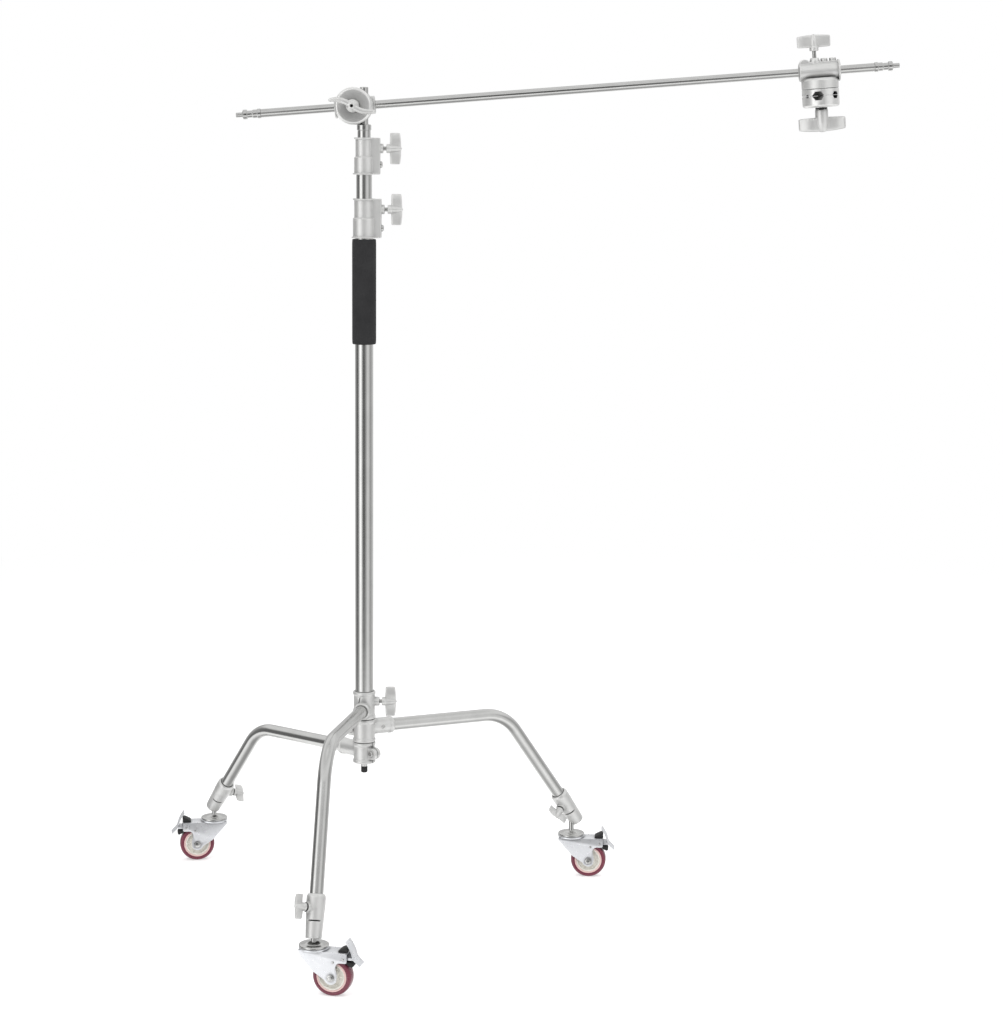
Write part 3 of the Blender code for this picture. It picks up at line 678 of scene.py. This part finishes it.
def socket_head_screw(radius, height):
    """A domed cap screw about Z with a hexagon recess, on z = 0."""
    head = turned([(0, -0.001), (radius, -0.001), (radius, height * 0.55), (radius * 0.72, height),
                   (0, height)], 0.0007, 36)
    return cut(head, rod(radius * 0.45, height * 0.35, height * 2, 0.0, 6))


# ---------------------------------------------------------------- base and legs


def leg_points(hub_z, bend, foot, start, stop):
    """The middle line of a leg in its own upright plane: a straight, a round bend, and a straight."""
    hub = Vector((0, 0, hub_z))
    corner = Vector((bend[0], 0, bend[1]))
    end = Vector((foot[0], 0, foot[1]))
    out = (hub - corner).normalized()
    down = (end - corner).normalized()
    half = out.angle(down) / 2
    reach = BEND_R / math.tan(half)
    middle = corner + (out + down).normalized() * (BEND_R / math.sin(half))
    a = corner + out * reach - middle
    b = corner + down * reach - middle
    turn = a.angle(b)
    steps = 28
    bow = []
    for i in range(steps + 1):
        t = i / steps
        bow.append(middle + (math.sin((1 - t) * turn) * a + math.sin(t * turn) * b) / math.sin(turn))
    return [hub - out * start, *bow, end - down * stop], down


def casting_mesh(name, low, high):
    """A leg casting in its leg's own frame: sleeve, socket, collar rings, clamp lug and their holes."""
    degrees, hub_z, bend, _, length = LEGS[name]
    slope = math.degrees(math.atan2(bend[1] - hub_z, bend[0]))
    tilt = shift(z=hub_z) @ about("Y", 90 - slope)
    middle = (low + high) / 2
    rim = CASTING_R + 0.0008
    waist = CASTING_R - 0.0007
    sleeve = turned([(0, low + GAP), (rim - 0.0012, low + GAP), (rim, low + 0.0015), (rim, low + 0.006),
                     (waist, low + 0.0085), (waist, high - 0.0085), (rim, high - 0.006), (rim, high - 0.0015),
                     (rim - 0.0012, high - GAP), (0, high - GAP)], 0.0008, 56)
    socket = turned([(0, 0), (0.0158, 0), (0.0158, length - 0.011), (0.0168, length - 0.009),
                     (0.0168, length - 0.003), (0.0150, length), (0, length)], 0.0010, 48)
    parts = [moved(socket, tilt)]
    if name in LUG_DEG:
        spin = about("Z", LUG_DEG[name])
        ear = [(0.010, -0.0115), *arc((0.026, 0), 0.0115, -90, 90, 20), (0.010, 0.0115)]
        parts.append(moved(prism(ear, -0.008, 0.008), spin @ shift(z=middle) @ about("X", 90)))
    else:
        boss_turn = about("Z", -degrees) @ shift(z=SLIDE_KNOB_Z) @ about("Y", 90)
        parts.append(moved(rod(0.0090, 0.010, 0.0300, 0.0006, 40), boss_turn))
    holes = [rod(COLUMN_R + GAP, low - 0.01, high + 0.01, 0.0, 64)]
    holes.append(moved(rod(LEG_R + GAP, LEG_START - 0.001, length + 0.02, 0.0), tilt))
    if name in LUG_DEG:
        split = block((0.0151, -0.00087, low - 0.0103), (0.0503, 0.00093, high + 0.0107))
        holes.append(moved(split, spin))
    else:
        holes.append(moved(rod(0.0043, 0.005, 0.05, 0.0, 32), boss_turn))
        crack = block((0.0160, -0.0008, -0.0085), (0.0300, 0.0008, 0.0085))
        holes.append(moved(crack, about("Z", -18) @ shift(z=SLIDE_KNOB_Z + 0.0035) @ about("X", -14)))
    body = cast(gathered(sleeve, *parts), voxel=0.0006, passes=2)
    return bevelled(cut(body, *holes), 0.0003, 1, 50), tilt


def build_base(column, looks):
    """The column, its foot, the three castings and the legs."""
    heights = {"front": (SLIDE_Z, SLIDE_TOP_Z), "left": (LOW_Z, MID_Z), "right": (MID_Z, SLIDE_Z)}
    low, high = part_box("column_tube")
    place("column", tube(COLUMN_R, COLUMN_R - WALL, low.z, high.z, segments=96), column, "stand",
          "stainless_steel", looks["steel"], "column_tube")
    build_grip(column, looks)
    inside = COLUMN_R - WALL - GAP
    stud = turned([(0, STUD_Z - 0.006), (0.0035, STUD_Z - 0.006), (0.0035, STUD_Z + GAP),
                   (0.0062, STUD_Z + GAP), (0.0062, LOW_Z + 0.001), (inside, LOW_Z + 0.003),
                   (inside, LOW_Z + 0.020), (0, LOW_Z + 0.020)], 0.0006)
    place("foot_stud", stud, column, "stand", "stainless_steel", looks["pins"], "base_stud")
    tip_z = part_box("base_tip")[0].z
    tip = turned([(0, tip_z), (0.0050, tip_z), (0.0064, tip_z + 0.0015), (0.0064, STUD_Z - 0.003),
                  (0.0060, STUD_Z - 0.0026), (0.0064, STUD_Z - 0.0022), (0.0064, STUD_Z), (0.0038, STUD_Z),
                  (0.0038, tip_z + 0.005), (0, tip_z + 0.005)], 0.0004)
    place("foot_tip", tip, column, "stand", "black_rubber", looks["rubber"], "base_tip")
    for name, (degrees, hub_z, bend, foot, length) in LEGS.items():
        axis = column @ about("Z", degrees)
        body = LEG_BODY[name]
        mesh, tilt = casting_mesh(name, *heights[name])
        place(CASTINGS[name] + "_shell", mesh, axis, body, "satin_casting", looks["cast"], CASTINGS[name],
              sharp=60)
        points, down = leg_points(hub_z, bend, foot, LEG_START, SOCKET_LENGTH - SOCKET_BORE + 0.002)
        place("leg_tube_" + name, swept(points, LEG_R, LEG_R - WALL), axis, body, "stainless_steel",
              looks["steel"], "leg_" + name)
        place_casting_screws(name, heights[name], axis, tilt, length, body, looks)
        build_caster(name, axis, foot, down, body, looks)
    knob_frame = column @ shift(x=SLIDE_KNOB_X, z=SLIDE_KNOB_Z) @ about("Y", 90)
    place_knob("sliding_knob", knob_mesh(SMALL_KNOB), knob_frame, KNOB_STEM_R, SLIDE_STEM, looks)


def place_casting_screws(name, heights, axis, tilt, length, body, looks):
    """The screws that pin the leg in its casting, and the one that closes the clamp lug."""
    side = tilt @ shift(z=length * 0.55) @ about("X", 90)
    grub = socket_head_screw(0.0040, 0.0018)
    place(name + "_leg_screw", grub, axis @ side @ shift(z=0.0152), body, "stainless_steel", looks["pins"])
    if name in LUG_DEG:
        middle = (heights[0] + heights[1]) / 2
        ear = axis @ about("Z", LUG_DEG[name]) @ shift(x=0.026, z=middle) @ about("X", 90)
        for number, turn in enumerate((0, 180), 1):
            screw = ear @ about("X", turn) @ shift(z=0.0078)
            place(f"{name}_lug_screw_{number}", socket_head_screw(0.0058, 0.0030), screw, body,
                  "stainless_steel", looks["pins"])


def build_grip(column, looks):
    """The foam sleeve round the column, with soft rounded ends."""
    low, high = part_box("grip_sleeve")
    radius = (high.x - low.x) / 2
    inner = COLUMN_R + GAP
    points = [(inner, low.z), (radius - 0.0004, low.z), (radius, low.z + 0.010), (radius, high.z - 0.010),
              (radius - 0.0004, high.z), (inner, high.z)]
    sleeve = place("foam_grip", turned(points, 0.0022, 96, hollow=True), column, "stand", "black_foam",
                   looks["foam"], "grip_sleeve")


# ---------------------------------------------------------------- casters


def socket_shell(side, slot_side, stem_hole):
    """A caster socket about Z: its open end at z = 0, its foot below, a boss for its knob on one side and
    a short slot across another."""
    body = turned([(0, -SOCKET_LENGTH), (SOCKET_END_R, -SOCKET_LENGTH), (SOCKET_TOP_R - 0.0006, -0.030),
                   (SOCKET_TOP_R, -0.026), (SOCKET_TOP_R, -0.005), (SOCKET_TOP_R - 0.0022, 0), (0, 0)],
                  0.0010, 56)
    height = SOCKET_KNOB_AT - SOCKET_LENGTH
    boss = moved(rod(0.0095, 0.004, 0.0225, 0.0006, 40), shift(z=height) @ about("Y", 90))
    bore = rod(LEG_R + GAP, -SOCKET_BORE, 0.01, 0.0)
    knob_hole = moved(rod(0.0043, 0.002, 0.04, 0.0, 32), shift(z=height) @ about("Y", 90))
    slot = moved(block((0.0105, -0.012, -0.0494), (0.030, 0.012, -0.0472)), about("Z", slot_side))
    shell = moved(cut(joined(body, boss), bore, knob_hole), about("Z", side))
    return cast(cut(shell, slot, stem_hole), voxel=0.0006)


def fork_outline():
    """The side of a fork, from the front of its top round the axle to its rear, as (trail, height)."""
    front, rear, lug_r = -0.0262, 0.0670, 0.0125
    outline = [(front, FORK_TOP), (front, FORK_TOP - 0.004), (0.0035, 0.0462)]
    outline += arc((TRAIL, WHEEL_R), lug_r, 200, 325, 12)
    outline += [(TRAIL + lug_r, 0.040), (0.0450, 0.058), (0.0500, 0.0655)]
    outline += [(rear - 0.002, 0.0655), (rear, 0.068), (rear, FORK_TOP)]
    return eased(outline, 0.004, closed=True, steps=5)


def fork_shell():
    """A pressed steel fork: two sides and a top, with rounded bends and a swivel race."""
    upright = about("X", 90)
    solid = moved(prism([tuple(p) for p in fork_outline()], -FORK_HALF, FORK_HALF), upright)
    inner = FORK_HALF - FORK_PLATE
    inside = block((-0.04, -inner, -0.01), (0.08, inner, FORK_TOP - FORK_PLATE))
    shell = cut(solid, inside)
    stem_hole = rod(STEM_R + GAP, FORK_TOP - 0.02, FORK_TOP + 0.02, 0.0, 32)
    axle_hole = moved(rod(AXLE_R + GAP, -0.03, 0.03, 0.0, 32), shift(TRAIL, 0, WHEEL_R) @ upright)
    shell = bevelled(cut(shell, stem_hole, axle_hole), 0.0008, 3, 40)
    race = turned([(STEM_R + GAP, FORK_TOP - 0.0004), (RACE_R - 0.0006, FORK_TOP - 0.0004),
                   (RACE_R, FORK_TOP + 0.0008), (RACE_R, RACE_TOP - 0.0013), (RACE_R - 0.0020, RACE_TOP),
                   (STEM_R + GAP, RACE_TOP)],
                  0.0008, 72, hollow=True)
    return gathered(shell, race)


def kingpin_shell():
    """The swivel's domed upper race and the stem that goes up into the socket."""
    low = RACE_TOP + GAP
    return turned([(0, FORK_TOP - FORK_PLATE), (STEM_R, FORK_TOP - FORK_PLATE), (STEM_R, low),
                   (RACE_R - 0.0006, low), (RACE_R, low + 0.0006), (RACE_R, low + 0.0030),
                   (RACE_R - 0.0022, low + 0.0042), (0.0185, low + 0.0046), (0.0165, low + 0.0060),
                   (0.0130, low + 0.0070), (0.0095, low + 0.0078), (0.0090, low + 0.0080),
                   (STEM_R, low + 0.0080), (STEM_R, STEM_TOP), (0, STEM_TOP)], 0.0009, 72)


def tyre_shell():
    """A moulded tyre with a crowned tread and rounded shoulders."""
    inner = HUB_R + 2 * GAP
    crown = [(WHEEL_R - 0.0035, -TYRE_HALF), (WHEEL_R - 0.0012, -TYRE_HALF + 0.0016),
             (WHEEL_R - 0.0002, -0.007), (WHEEL_R, 0.0), (WHEEL_R - 0.0002, 0.007),
             (WHEEL_R - 0.0012, TYRE_HALF - 0.0016), (WHEEL_R - 0.0035, TYRE_HALF)]
    sides = [(inner, TYRE_HALF), (inner, -TYRE_HALF)]
    return turned(crown + sides, 0.0012, 96, hollow=True)


def band_shell():
    """The paler ring moulded between the tyre and its hub."""
    outer, inner = HUB_R + 0.0004, HUB_R - 0.0027
    half = TYRE_HALF + 0.0004
    return turned([(outer, -half), (outer, half), (inner, half), (inner, -half)], 0.0007, 96, hollow=True)


def hub_shell():
    """A moulded wheel hub: stepped faces, a raised bearing boss and a ring of small ribs."""
    half = TYRE_HALF + 0.0002
    rim = HUB_R - 0.0029
    one_side = [(rim, half), (rim - 0.0022, half), (rim - 0.0042, half - 0.0042), (0.0150, half - 0.0042),
                (0.0142, half - 0.0022), (0.0120, half - 0.0022), (0.0112, half + 0.0012),
                (0.0076, half + 0.0012), (0.0070, half - 0.0005), (AXLE_R + GAP, half - 0.0005)]
    other_side = [(radius, -height) for radius, height in one_side[::-1]]
    disc = turned(one_side + other_side, 0.0006, 96, hollow=True)
    ribs = []
    for k in range(6):
        rib = block((0.0145, -0.0009, -half + 0.0012), (rim - 0.0025, 0.0009, half - 0.0012))
        ribs.append(moved(bevelled(rib, 0.0005, 2), about("Z", 60 * k)))
    return gathered(disc, *ribs)


def axle_shell():
    """The axle bolt: a hexagon head with a washer on one side, a nut and its washer on the other."""
    face = FORK_HALF + GAP
    shaft = turned([(0, -face), (AXLE_R, -face), (AXLE_R, face + 0.0052), (AXLE_R - 0.0008, face + 0.006),
                    (0, face + 0.006)], 0.0003, 32)
    washers = [tube(0.0070, AXLE_R - 0.0002, z, z + 0.0009, 0.0002, 40) for z in (face, -face - 0.0009)]
    hexagons = [bevelled(rod(0.0066, z, z + 0.0031, 0.0, 6), 0.0005) for z in (face + 0.0009, -face - 0.0040)]
    return gathered(shaft, *washers, *hexagons)


def pedal_shell():
    """The brake pedal: a plate pressed to a curve, with a turned-out toe and a web to its pin."""
    half = FORK_HALF - FORK_PLATE - 0.0016
    outline = [(0.0640, 0.1052), (0.0705, 0.0960), (0.0752, 0.0862), (0.0788, 0.0738), (0.0908, 0.0612),
               (0.0897, 0.0601), (0.0782, 0.0716), (0.0560, 0.0705), (0.0560, 0.0755), (0.0768, 0.0755),
               (0.0737, 0.0856), (0.0692, 0.0951), (0.0628, 0.1042)]
    plate = moved(prism([tuple(p) for p in eased(outline, 0.0010, closed=True)], -half, half), about("X", 90))
    return bevelled(plate, 0.0005, 2)


def brake_block(outline):
    """A black moulded block of the brake, from its outline as (trail, height)."""
    half = FORK_HALF - FORK_PLATE - 0.0030
    soft = [tuple(p) for p in eased(outline, 0.0012, closed=True)]
    return bevelled(moved(prism(soft, -half, half), about("X", 90)), 0.0006)


def build_caster(name, axis, foot, down, body, looks):
    """One leg's socket with its knob, and the braked swivel caster under it."""
    lean = math.degrees(math.atan2(down.x, -down.z))
    top = Vector((foot[0], 0, foot[1])) - down * SOCKET_LENGTH
    socket_frame = shift(*top) @ about("Y", -lean)
    swivel = JOINTS["caster_swivel_" + name]
    wheel = JOINTS["wheel_spin_" + name]
    pivot_at = Vector((swivel["pos_m"][0], swivel["pos_m"][1], 0))
    trail = Vector(wheel["pos_m"]) - pivot_at
    pivot = placed(pivot_at, Vector((trail.x, trail.y, 0)).normalized(),
                   Vector((-trail.y, trail.x, 0)).normalized(), Vector((0, 0, 1)))
    side = KNOB_SIDE_DEG[name]
    stem_hole = rod(STEM_R + GAP, 0.0, STEM_TOP + 0.001, 0.0, 32)
    stem_hole.transform(socket_frame.inverted() @ axis.inverted() @ shift(*pivot_at))
    toward_front = -90 - LEGS[name][0]
    place("socket_shell_" + name, socket_shell(side, toward_front, stem_hole), axis @ socket_frame, body,
          "satin_casting", looks["cast"], "socket_" + name, sharp=60)
    height = SOCKET_KNOB_AT - SOCKET_LENGTH
    knob_frame = axis @ socket_frame @ about("Z", side) @ shift(x=SOCKET_KNOB_X, z=height) @ about("Y", 90)
    knob_frame = knob_frame @ about("Z", KNOB_TURN_DEG[name])
    place_knob("socket_knob_" + name, knob_mesh(SOCKET_KNOB), knob_frame, KNOB_STEM_R, SOCKET_STEM, looks)
    caster, rolling, lever = "caster_" + name, "wheel_" + name, "pedal_" + name
    place("race_cover_" + name, kingpin_shell(), pivot, body, "stainless_steel", looks["pins"],
          "kingpin_" + name)
    place("fork_shell_" + name, fork_shell(), pivot, caster, "zinc_plate", looks["zinc"], "fork_" + name)
    axle = pivot @ shift(TRAIL, 0, WHEEL_R) @ about("X", 90)
    place("axle_bolt_" + name, axle_shell(), axle, caster, "stainless_steel", looks["pins"], "axle_" + name)
    place("tyre_ring_" + name, tyre_shell(), axle, rolling, "maroon_tyre", looks["tyre"], "tyre_" + name)
    place("tyre_band_" + name, band_shell(), axle, rolling, "cream_hub", looks["band"])
    place("hub_disc_" + name, hub_shell(), axle, rolling, "cream_hub", looks["hub"], "wheel_hub_" + name)
    place("pedal_plate_" + name, pedal_shell(), pivot, lever, "zinc_plate", looks["zinc"],
          "brake_pedal_" + name)
    place("brake_wedge_" + name, brake_block(BRAKE_WEDGE), pivot, caster, "black_rubber", looks["rubber"])
    place("brake_shoe_" + name, brake_block(BRAKE_SHOE), pivot, caster, "black_rubber", looks["rubber"])
    for number, (along, height) in enumerate(RIVETS, 1):
        for side, turn in (("left", 90), ("right", -90)):
            head = turned([(0, 0), (0.0026, 0), (0.0022, 0.0011), (0, 0.0015)], 0.0004, 28)
            at = pivot @ shift(along, 0, height) @ about("X", turn) @ shift(z=FORK_HALF - 0.0002)
            place(f"rivet_{name}_{number}_{side}", head, at, caster, "zinc_plate", looks["pins"])


# ---------------------------------------------------------------- column


def collar_shell(low, step, top, lower_r, upper_r):
    """A riser clamp about Z: a stepped, flanged sleeve with a split block on +X."""
    outer_low = lower_r + COLLAR_WALL
    outer_high = upper_r + COLLAR_WALL
    lip, rim = 0.0026, 0.0024
    sleeve = turned([(0, low), (outer_low + lip, low), (outer_low + lip, low + rim),
                     (outer_low, low + rim + 0.0004), (outer_low, step - 0.001), (outer_low - 0.001, step),
                     (outer_high, step + 0.0004), (outer_high, top - rim - 0.0004),
                     (outer_high + lip, top - rim), (outer_high + lip, top), (0, top)], 0.0007, 64)
    face = outer_low + 0.0118
    knob_z, screw_z = top - 0.0205, low + 0.0190
    lug = bevelled(block((0.006, -0.0105, low + 0.0004), (face, 0.0105, top - 0.0004)), 0.0015, 3)
    sideways = about("Y", 90)
    boss = moved(rod(0.0090, 0.006, face + 0.0060, 0.0006, 40), shift(z=knob_z) @ sideways)
    holes = [rod(lower_r + GAP, low - 0.01, step - SHOULDER, 0.0, 72),
             rod(upper_r + GAP, low - 0.02, top + 0.01, 0.0, 72)]
    holes.append(moved(rod(0.0044, 0.001, face + 0.02, 0.0, 32), shift(z=knob_z) @ sideways))
    holes.append(moved(rod(0.0033, face - 0.008, face + 0.02, 0.0, 32), shift(z=screw_z) @ sideways))
    holes.append(block((0.010, -0.0008, low - 0.01), (face - 0.004, 0.0008, top + 0.01)))
    return cast(cut(joined(sleeve, lug, boss), *holes), voxel=0.0006), face, knob_z, screw_z


def build_column(column, looks):
    """The two riser clamps, the two risers and the pin on top."""
    clamps = (("lower", "stand", COLUMN_R, MID_R), ("upper", "mid_section", MID_R, TOP_R))
    for name, body, tube_r, riser_r in clamps:
        low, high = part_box(name + "_collar")
        step = low.z + STEP_SHARE[name] * (high.z - low.z)
        mesh, face, knob_z, screw_z = collar_shell(low.z, step, high.z, tube_r, riser_r)
        place(name + "_clamp", mesh, column, body, "satin_casting", looks["cast"], name + "_collar", sharp=60)
        knob_x = face + KNOB_STANDOFF
        knob_frame = column @ shift(x=knob_x, z=knob_z) @ about("Y", 90)
        stem_length = knob_x - riser_r - 0.0010
        place_knob(name + "_knob", knob_mesh(SMALL_KNOB), knob_frame, KNOB_STEM_R, stem_length, looks)
        screw = socket_head_screw(0.0066, 0.0044)
        place(name + "_clamp_screw", screw, column @ shift(x=face, z=screw_z) @ about("Y", 90), body,
              "stainless_steel", looks["pins"], name + "_collar_screw")
    for node_name, radius, body in (("riser_mid", MID_R, "mid_section"), ("riser_top", TOP_R, "top_section")):
        low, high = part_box(node_name)
        place(node_name + "_tube", tube(radius, radius - WALL, low.z, high.z, segments=96), column, body,
              "stainless_steel", looks["steel"], node_name)
    low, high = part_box("top_pin")
    shoulder = low.z + 0.030
    plug_r = TOP_R - WALL - GAP
    pin = turned([(0, low.z), (plug_r, low.z), (plug_r, shoulder), (TOP_RING_R, shoulder),
                  (TOP_RING_R, shoulder + 0.0100), (PIN_R, shoulder + 0.0115), (PIN_R, high.z - 0.0010),
                  (PIN_R - 0.001, high.z), (0, high.z)], 0.0006, 72)
    place("top_spigot", pin, column, "top_section", "stainless_steel", looks["pins"], "top_pin")


# ---------------------------------------------------------------- heads and boom


def groove_cutters():
    cutters = []
    for apothem, offset, turn in GROOVES:
        bar = rod(apothem / math.cos(math.radians(30)), -0.06, 0.06, 0.0, 6)
        cutters.append(moved(bar, about("Z", turn) @ shift(x=offset, z=SPLIT) @ about("X", 90)))
    return cutters


def plate_shell(low, high, edge_low, edge_high):
    disc = turned([(0, low), (PLATE_R - edge_low, low), (PLATE_R, low + edge_low),
                   (PLATE_R, high - edge_high), (PLATE_R - edge_high, high), (0, high)],
                  max(edge_high * 1.2, 0.0006), 96)
    bolt_hole = rod(BOLT_R + GAP, low - 0.01, high + 0.01, 0.0, 40)
    return bevelled(cut(disc, bolt_hole, *groove_cutters()), 0.0004, 2, 40)


def receiver_shell():
    """A grip head's cast receiver: barrel along X with its rim, thick flange, rib, lug and screw bosses."""
    sideways = about("Y", 90)
    barrel = moved(rod(BARREL_R, -BARREL_HALF, BARREL_HALF, 0.0012, 64), sideways)
    rim = moved(rod(BARREL_R + 0.0035, BARREL_HALF - 0.004, BARREL_HALF, 0.0008, 64), sideways)
    flange = turned([(0, 0.0125), (PLATE_R - 0.0040, 0.0125), (PLATE_R, 0.0165), (PLATE_R, BODY_FACE),
                     (0, BODY_FACE)], 0.0016, 96)
    web = bevelled(block((-0.0375, -0.0085, -0.0185), (0.0375, 0.0085, 0.0)), 0.0015, 3)
    down = about("X", 180)
    boss = moved(turned([(0, 0.002), (0.0115, 0.002), (0.0095, 0.021), (0.0078, SCREW_BOSS), (0, SCREW_BOSS)],
                        0.0008, 40), shift(x=SCREW_X) @ down)
    bumps = [moved(rod(0.0066, 0.002, 0.0245, 0.0014, 40), shift(x=x) @ down) for x in (0.0100, 0.0265)]
    ear = moved(rod(0.0100, -0.0085, 0.0085, 0.0010, 40), shift(x=-0.0280, z=-0.0140) @ about("X", 90))
    bore = moved(rod(ARM_R + GAP, -0.06, 0.06, 0.0), sideways)
    screw_hole = moved(rod(SCREW_R + GAP, 0.001, 0.05, 0.0, 32), shift(x=SCREW_X) @ down)
    bolt_hole = rod(BOLT_R + GAP, 0.0135, 0.05, 0.0, 32)
    body = cast(gathered(barrel, rim, flange, web, boss, ear, *bumps), voxel=0.0005, passes=4)
    return cut(body, bore, screw_hole, bolt_hole)


def handle_shell(sizes):
    """The T-handle's cast body: a large wing on a hub that narrows to a blunt point."""
    half_span, depth, hub_r, hub_length, bow = sizes
    blade = wing(half_span, depth, 0.24 * half_span, bow, hub_length - depth - 0.001, 0.13 * depth)
    hub = turned([(0, 0), (hub_r, 0), (hub_r, 0.35 * hub_length), (hub_r * 0.94, 0.60 * hub_length),
                  (hub_r * 0.78, 0.82 * hub_length), (hub_r * 0.52, 0.98 * hub_length),
                  (0, hub_length + 0.0008)], 0.0012, 48)
    body = cast(gathered(blade, hub), voxel=0.0007)
    return cut(body, rod(0.0034, hub_length - 0.010, hub_length + 0.01, 0.0, 6))


def build_head(name, frame_matrix, plates_turn, looks):
    """One grip head in its own frame: the arm along X, the plates on +Z."""
    receiver, grip = name + "_receiver", name + "_grip"
    cast_look = looks["cast"]
    body_at = frame_matrix @ about("Z", BODY_TURN_DEG[name])
    place(name + "_receiver_shell", receiver_shell(), body_at, receiver, "satin_casting", cast_look,
          name + "_body", sharp=60)
    turn = frame_matrix @ about("Z", plates_turn)
    place(name + "_inner_disc", plate_shell(BODY_FACE + GAP, SPLIT - GAP, 0.0008, 0.0004), turn, grip,
          "satin_casting", looks["plates"], name + "_inner_plate", sharp=30)
    place(name + "_outer_disc", plate_shell(SPLIT + GAP, OUTER_FACE, 0.0004, 0.0035), turn, grip,
          "satin_casting", looks["plates"], name + "_outer_plate", sharp=30)
    place(name + "_washer_ring",
          tube(0.0115, BOLT_R + GAP, OUTER_FACE + GAP, OUTER_FACE + WASHER, 0.0006, 48), frame_matrix, grip,
          "black_rubber", looks["rubber"], name + "_washer")
    hub_low = OUTER_FACE + WASHER + GAP
    handle_at = frame_matrix @ shift(z=hub_low) @ about("Z", HANDLE_DEG[name])
    place(name + "_handle_shell", handle_shell(LARGE_KNOB), handle_at, name + "_handle", "satin_casting",
          cast_look, name + "_handle", sharp=60)
    place(name + "_handle_bolt", thread(BOLT_R, 0.0150 - hub_low, 0.001), handle_at, name + "_handle",
          "satin_casting", looks["pins"])
    screw_low = SCREW_BOSS + SCREW_STANDOFF
    screw_at = body_at @ shift(x=SCREW_X) @ about("X", 180) @ shift(z=screw_low)
    stem_length = screw_low - ARM_R - 0.0006
    place_knob(name + "_screw", knob_mesh(ARM_SCREW_KNOB), screw_at, SCREW_R, stem_length, looks)


def spigot_shell():
    plug_r = ARM_R - WALL - GAP
    return turned([(0, -0.022), (plug_r, -0.022), (plug_r, GAP), (ARM_R + 0.0012, GAP),
                   (ARM_R + 0.0012, 0.006), (ARM_R, 0.007), (ARM_R, 0.015), (0.0068, 0.0165), (0.0068, 0.026),
                   (0.0092, 0.027), (0.0092, 0.034), (0.0045, 0.036), (0.0045, 0.048), (0, 0.048)], 0.0005,
                  64)


def build_boom(looks):
    """The arm with its end spigots and the two grip heads."""
    tilt_joint = JOINTS["head_1_tilt"]
    centre = shift(*tilt_joint["pos_m"]) @ about("Y", -ARM_TILT)
    along = about("Y", 90)
    place("boom_tube", tube(ARM_R, ARM_R - WALL, ARM_LEFT, ARM_RIGHT, segments=64), centre @ along, "boom",
          "stainless_steel", looks["steel"], "arm_tube")
    place("right_spigot", spigot_shell(), centre @ shift(x=ARM_RIGHT) @ along, "boom", "stainless_steel",
          looks["pins"], "arm_spigot_right")
    place("left_spigot", spigot_shell(), centre @ shift(x=ARM_LEFT) @ about("Y", -90), "boom",
          "stainless_steel", looks["pins"], "arm_spigot_left")
    build_head("head_1", centre @ about("X", 90), -ARM_TILT, looks)
    reach = (Vector(JOINTS["head_2_turn"]["pos_m"]) - Vector(tilt_joint["pos_m"])).length
    build_head("head_2", centre @ shift(x=reach) @ about("X", 180), HEAD_2_PLATES_DEG, looks)


# ---------------------------------------------------------------- the scene

for started_with in list(bpy.data.objects):
    bpy.data.objects.remove(started_with, do_unlink=True)
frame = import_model()
JOINTS = {joint["name"]: joint for joint in frame["record"]["behaviour"]["joints"]}
column_at = JOINTS["mid_section_slide"]["pos_m"]
COLUMN = shift(column_at[0], column_at[1], 0)
finishes = make_looks()
make_stage(COLUMN.translation)
build_base(COLUMN, finishes)
build_column(COLUMN, finishes)
build_boom(finishes)
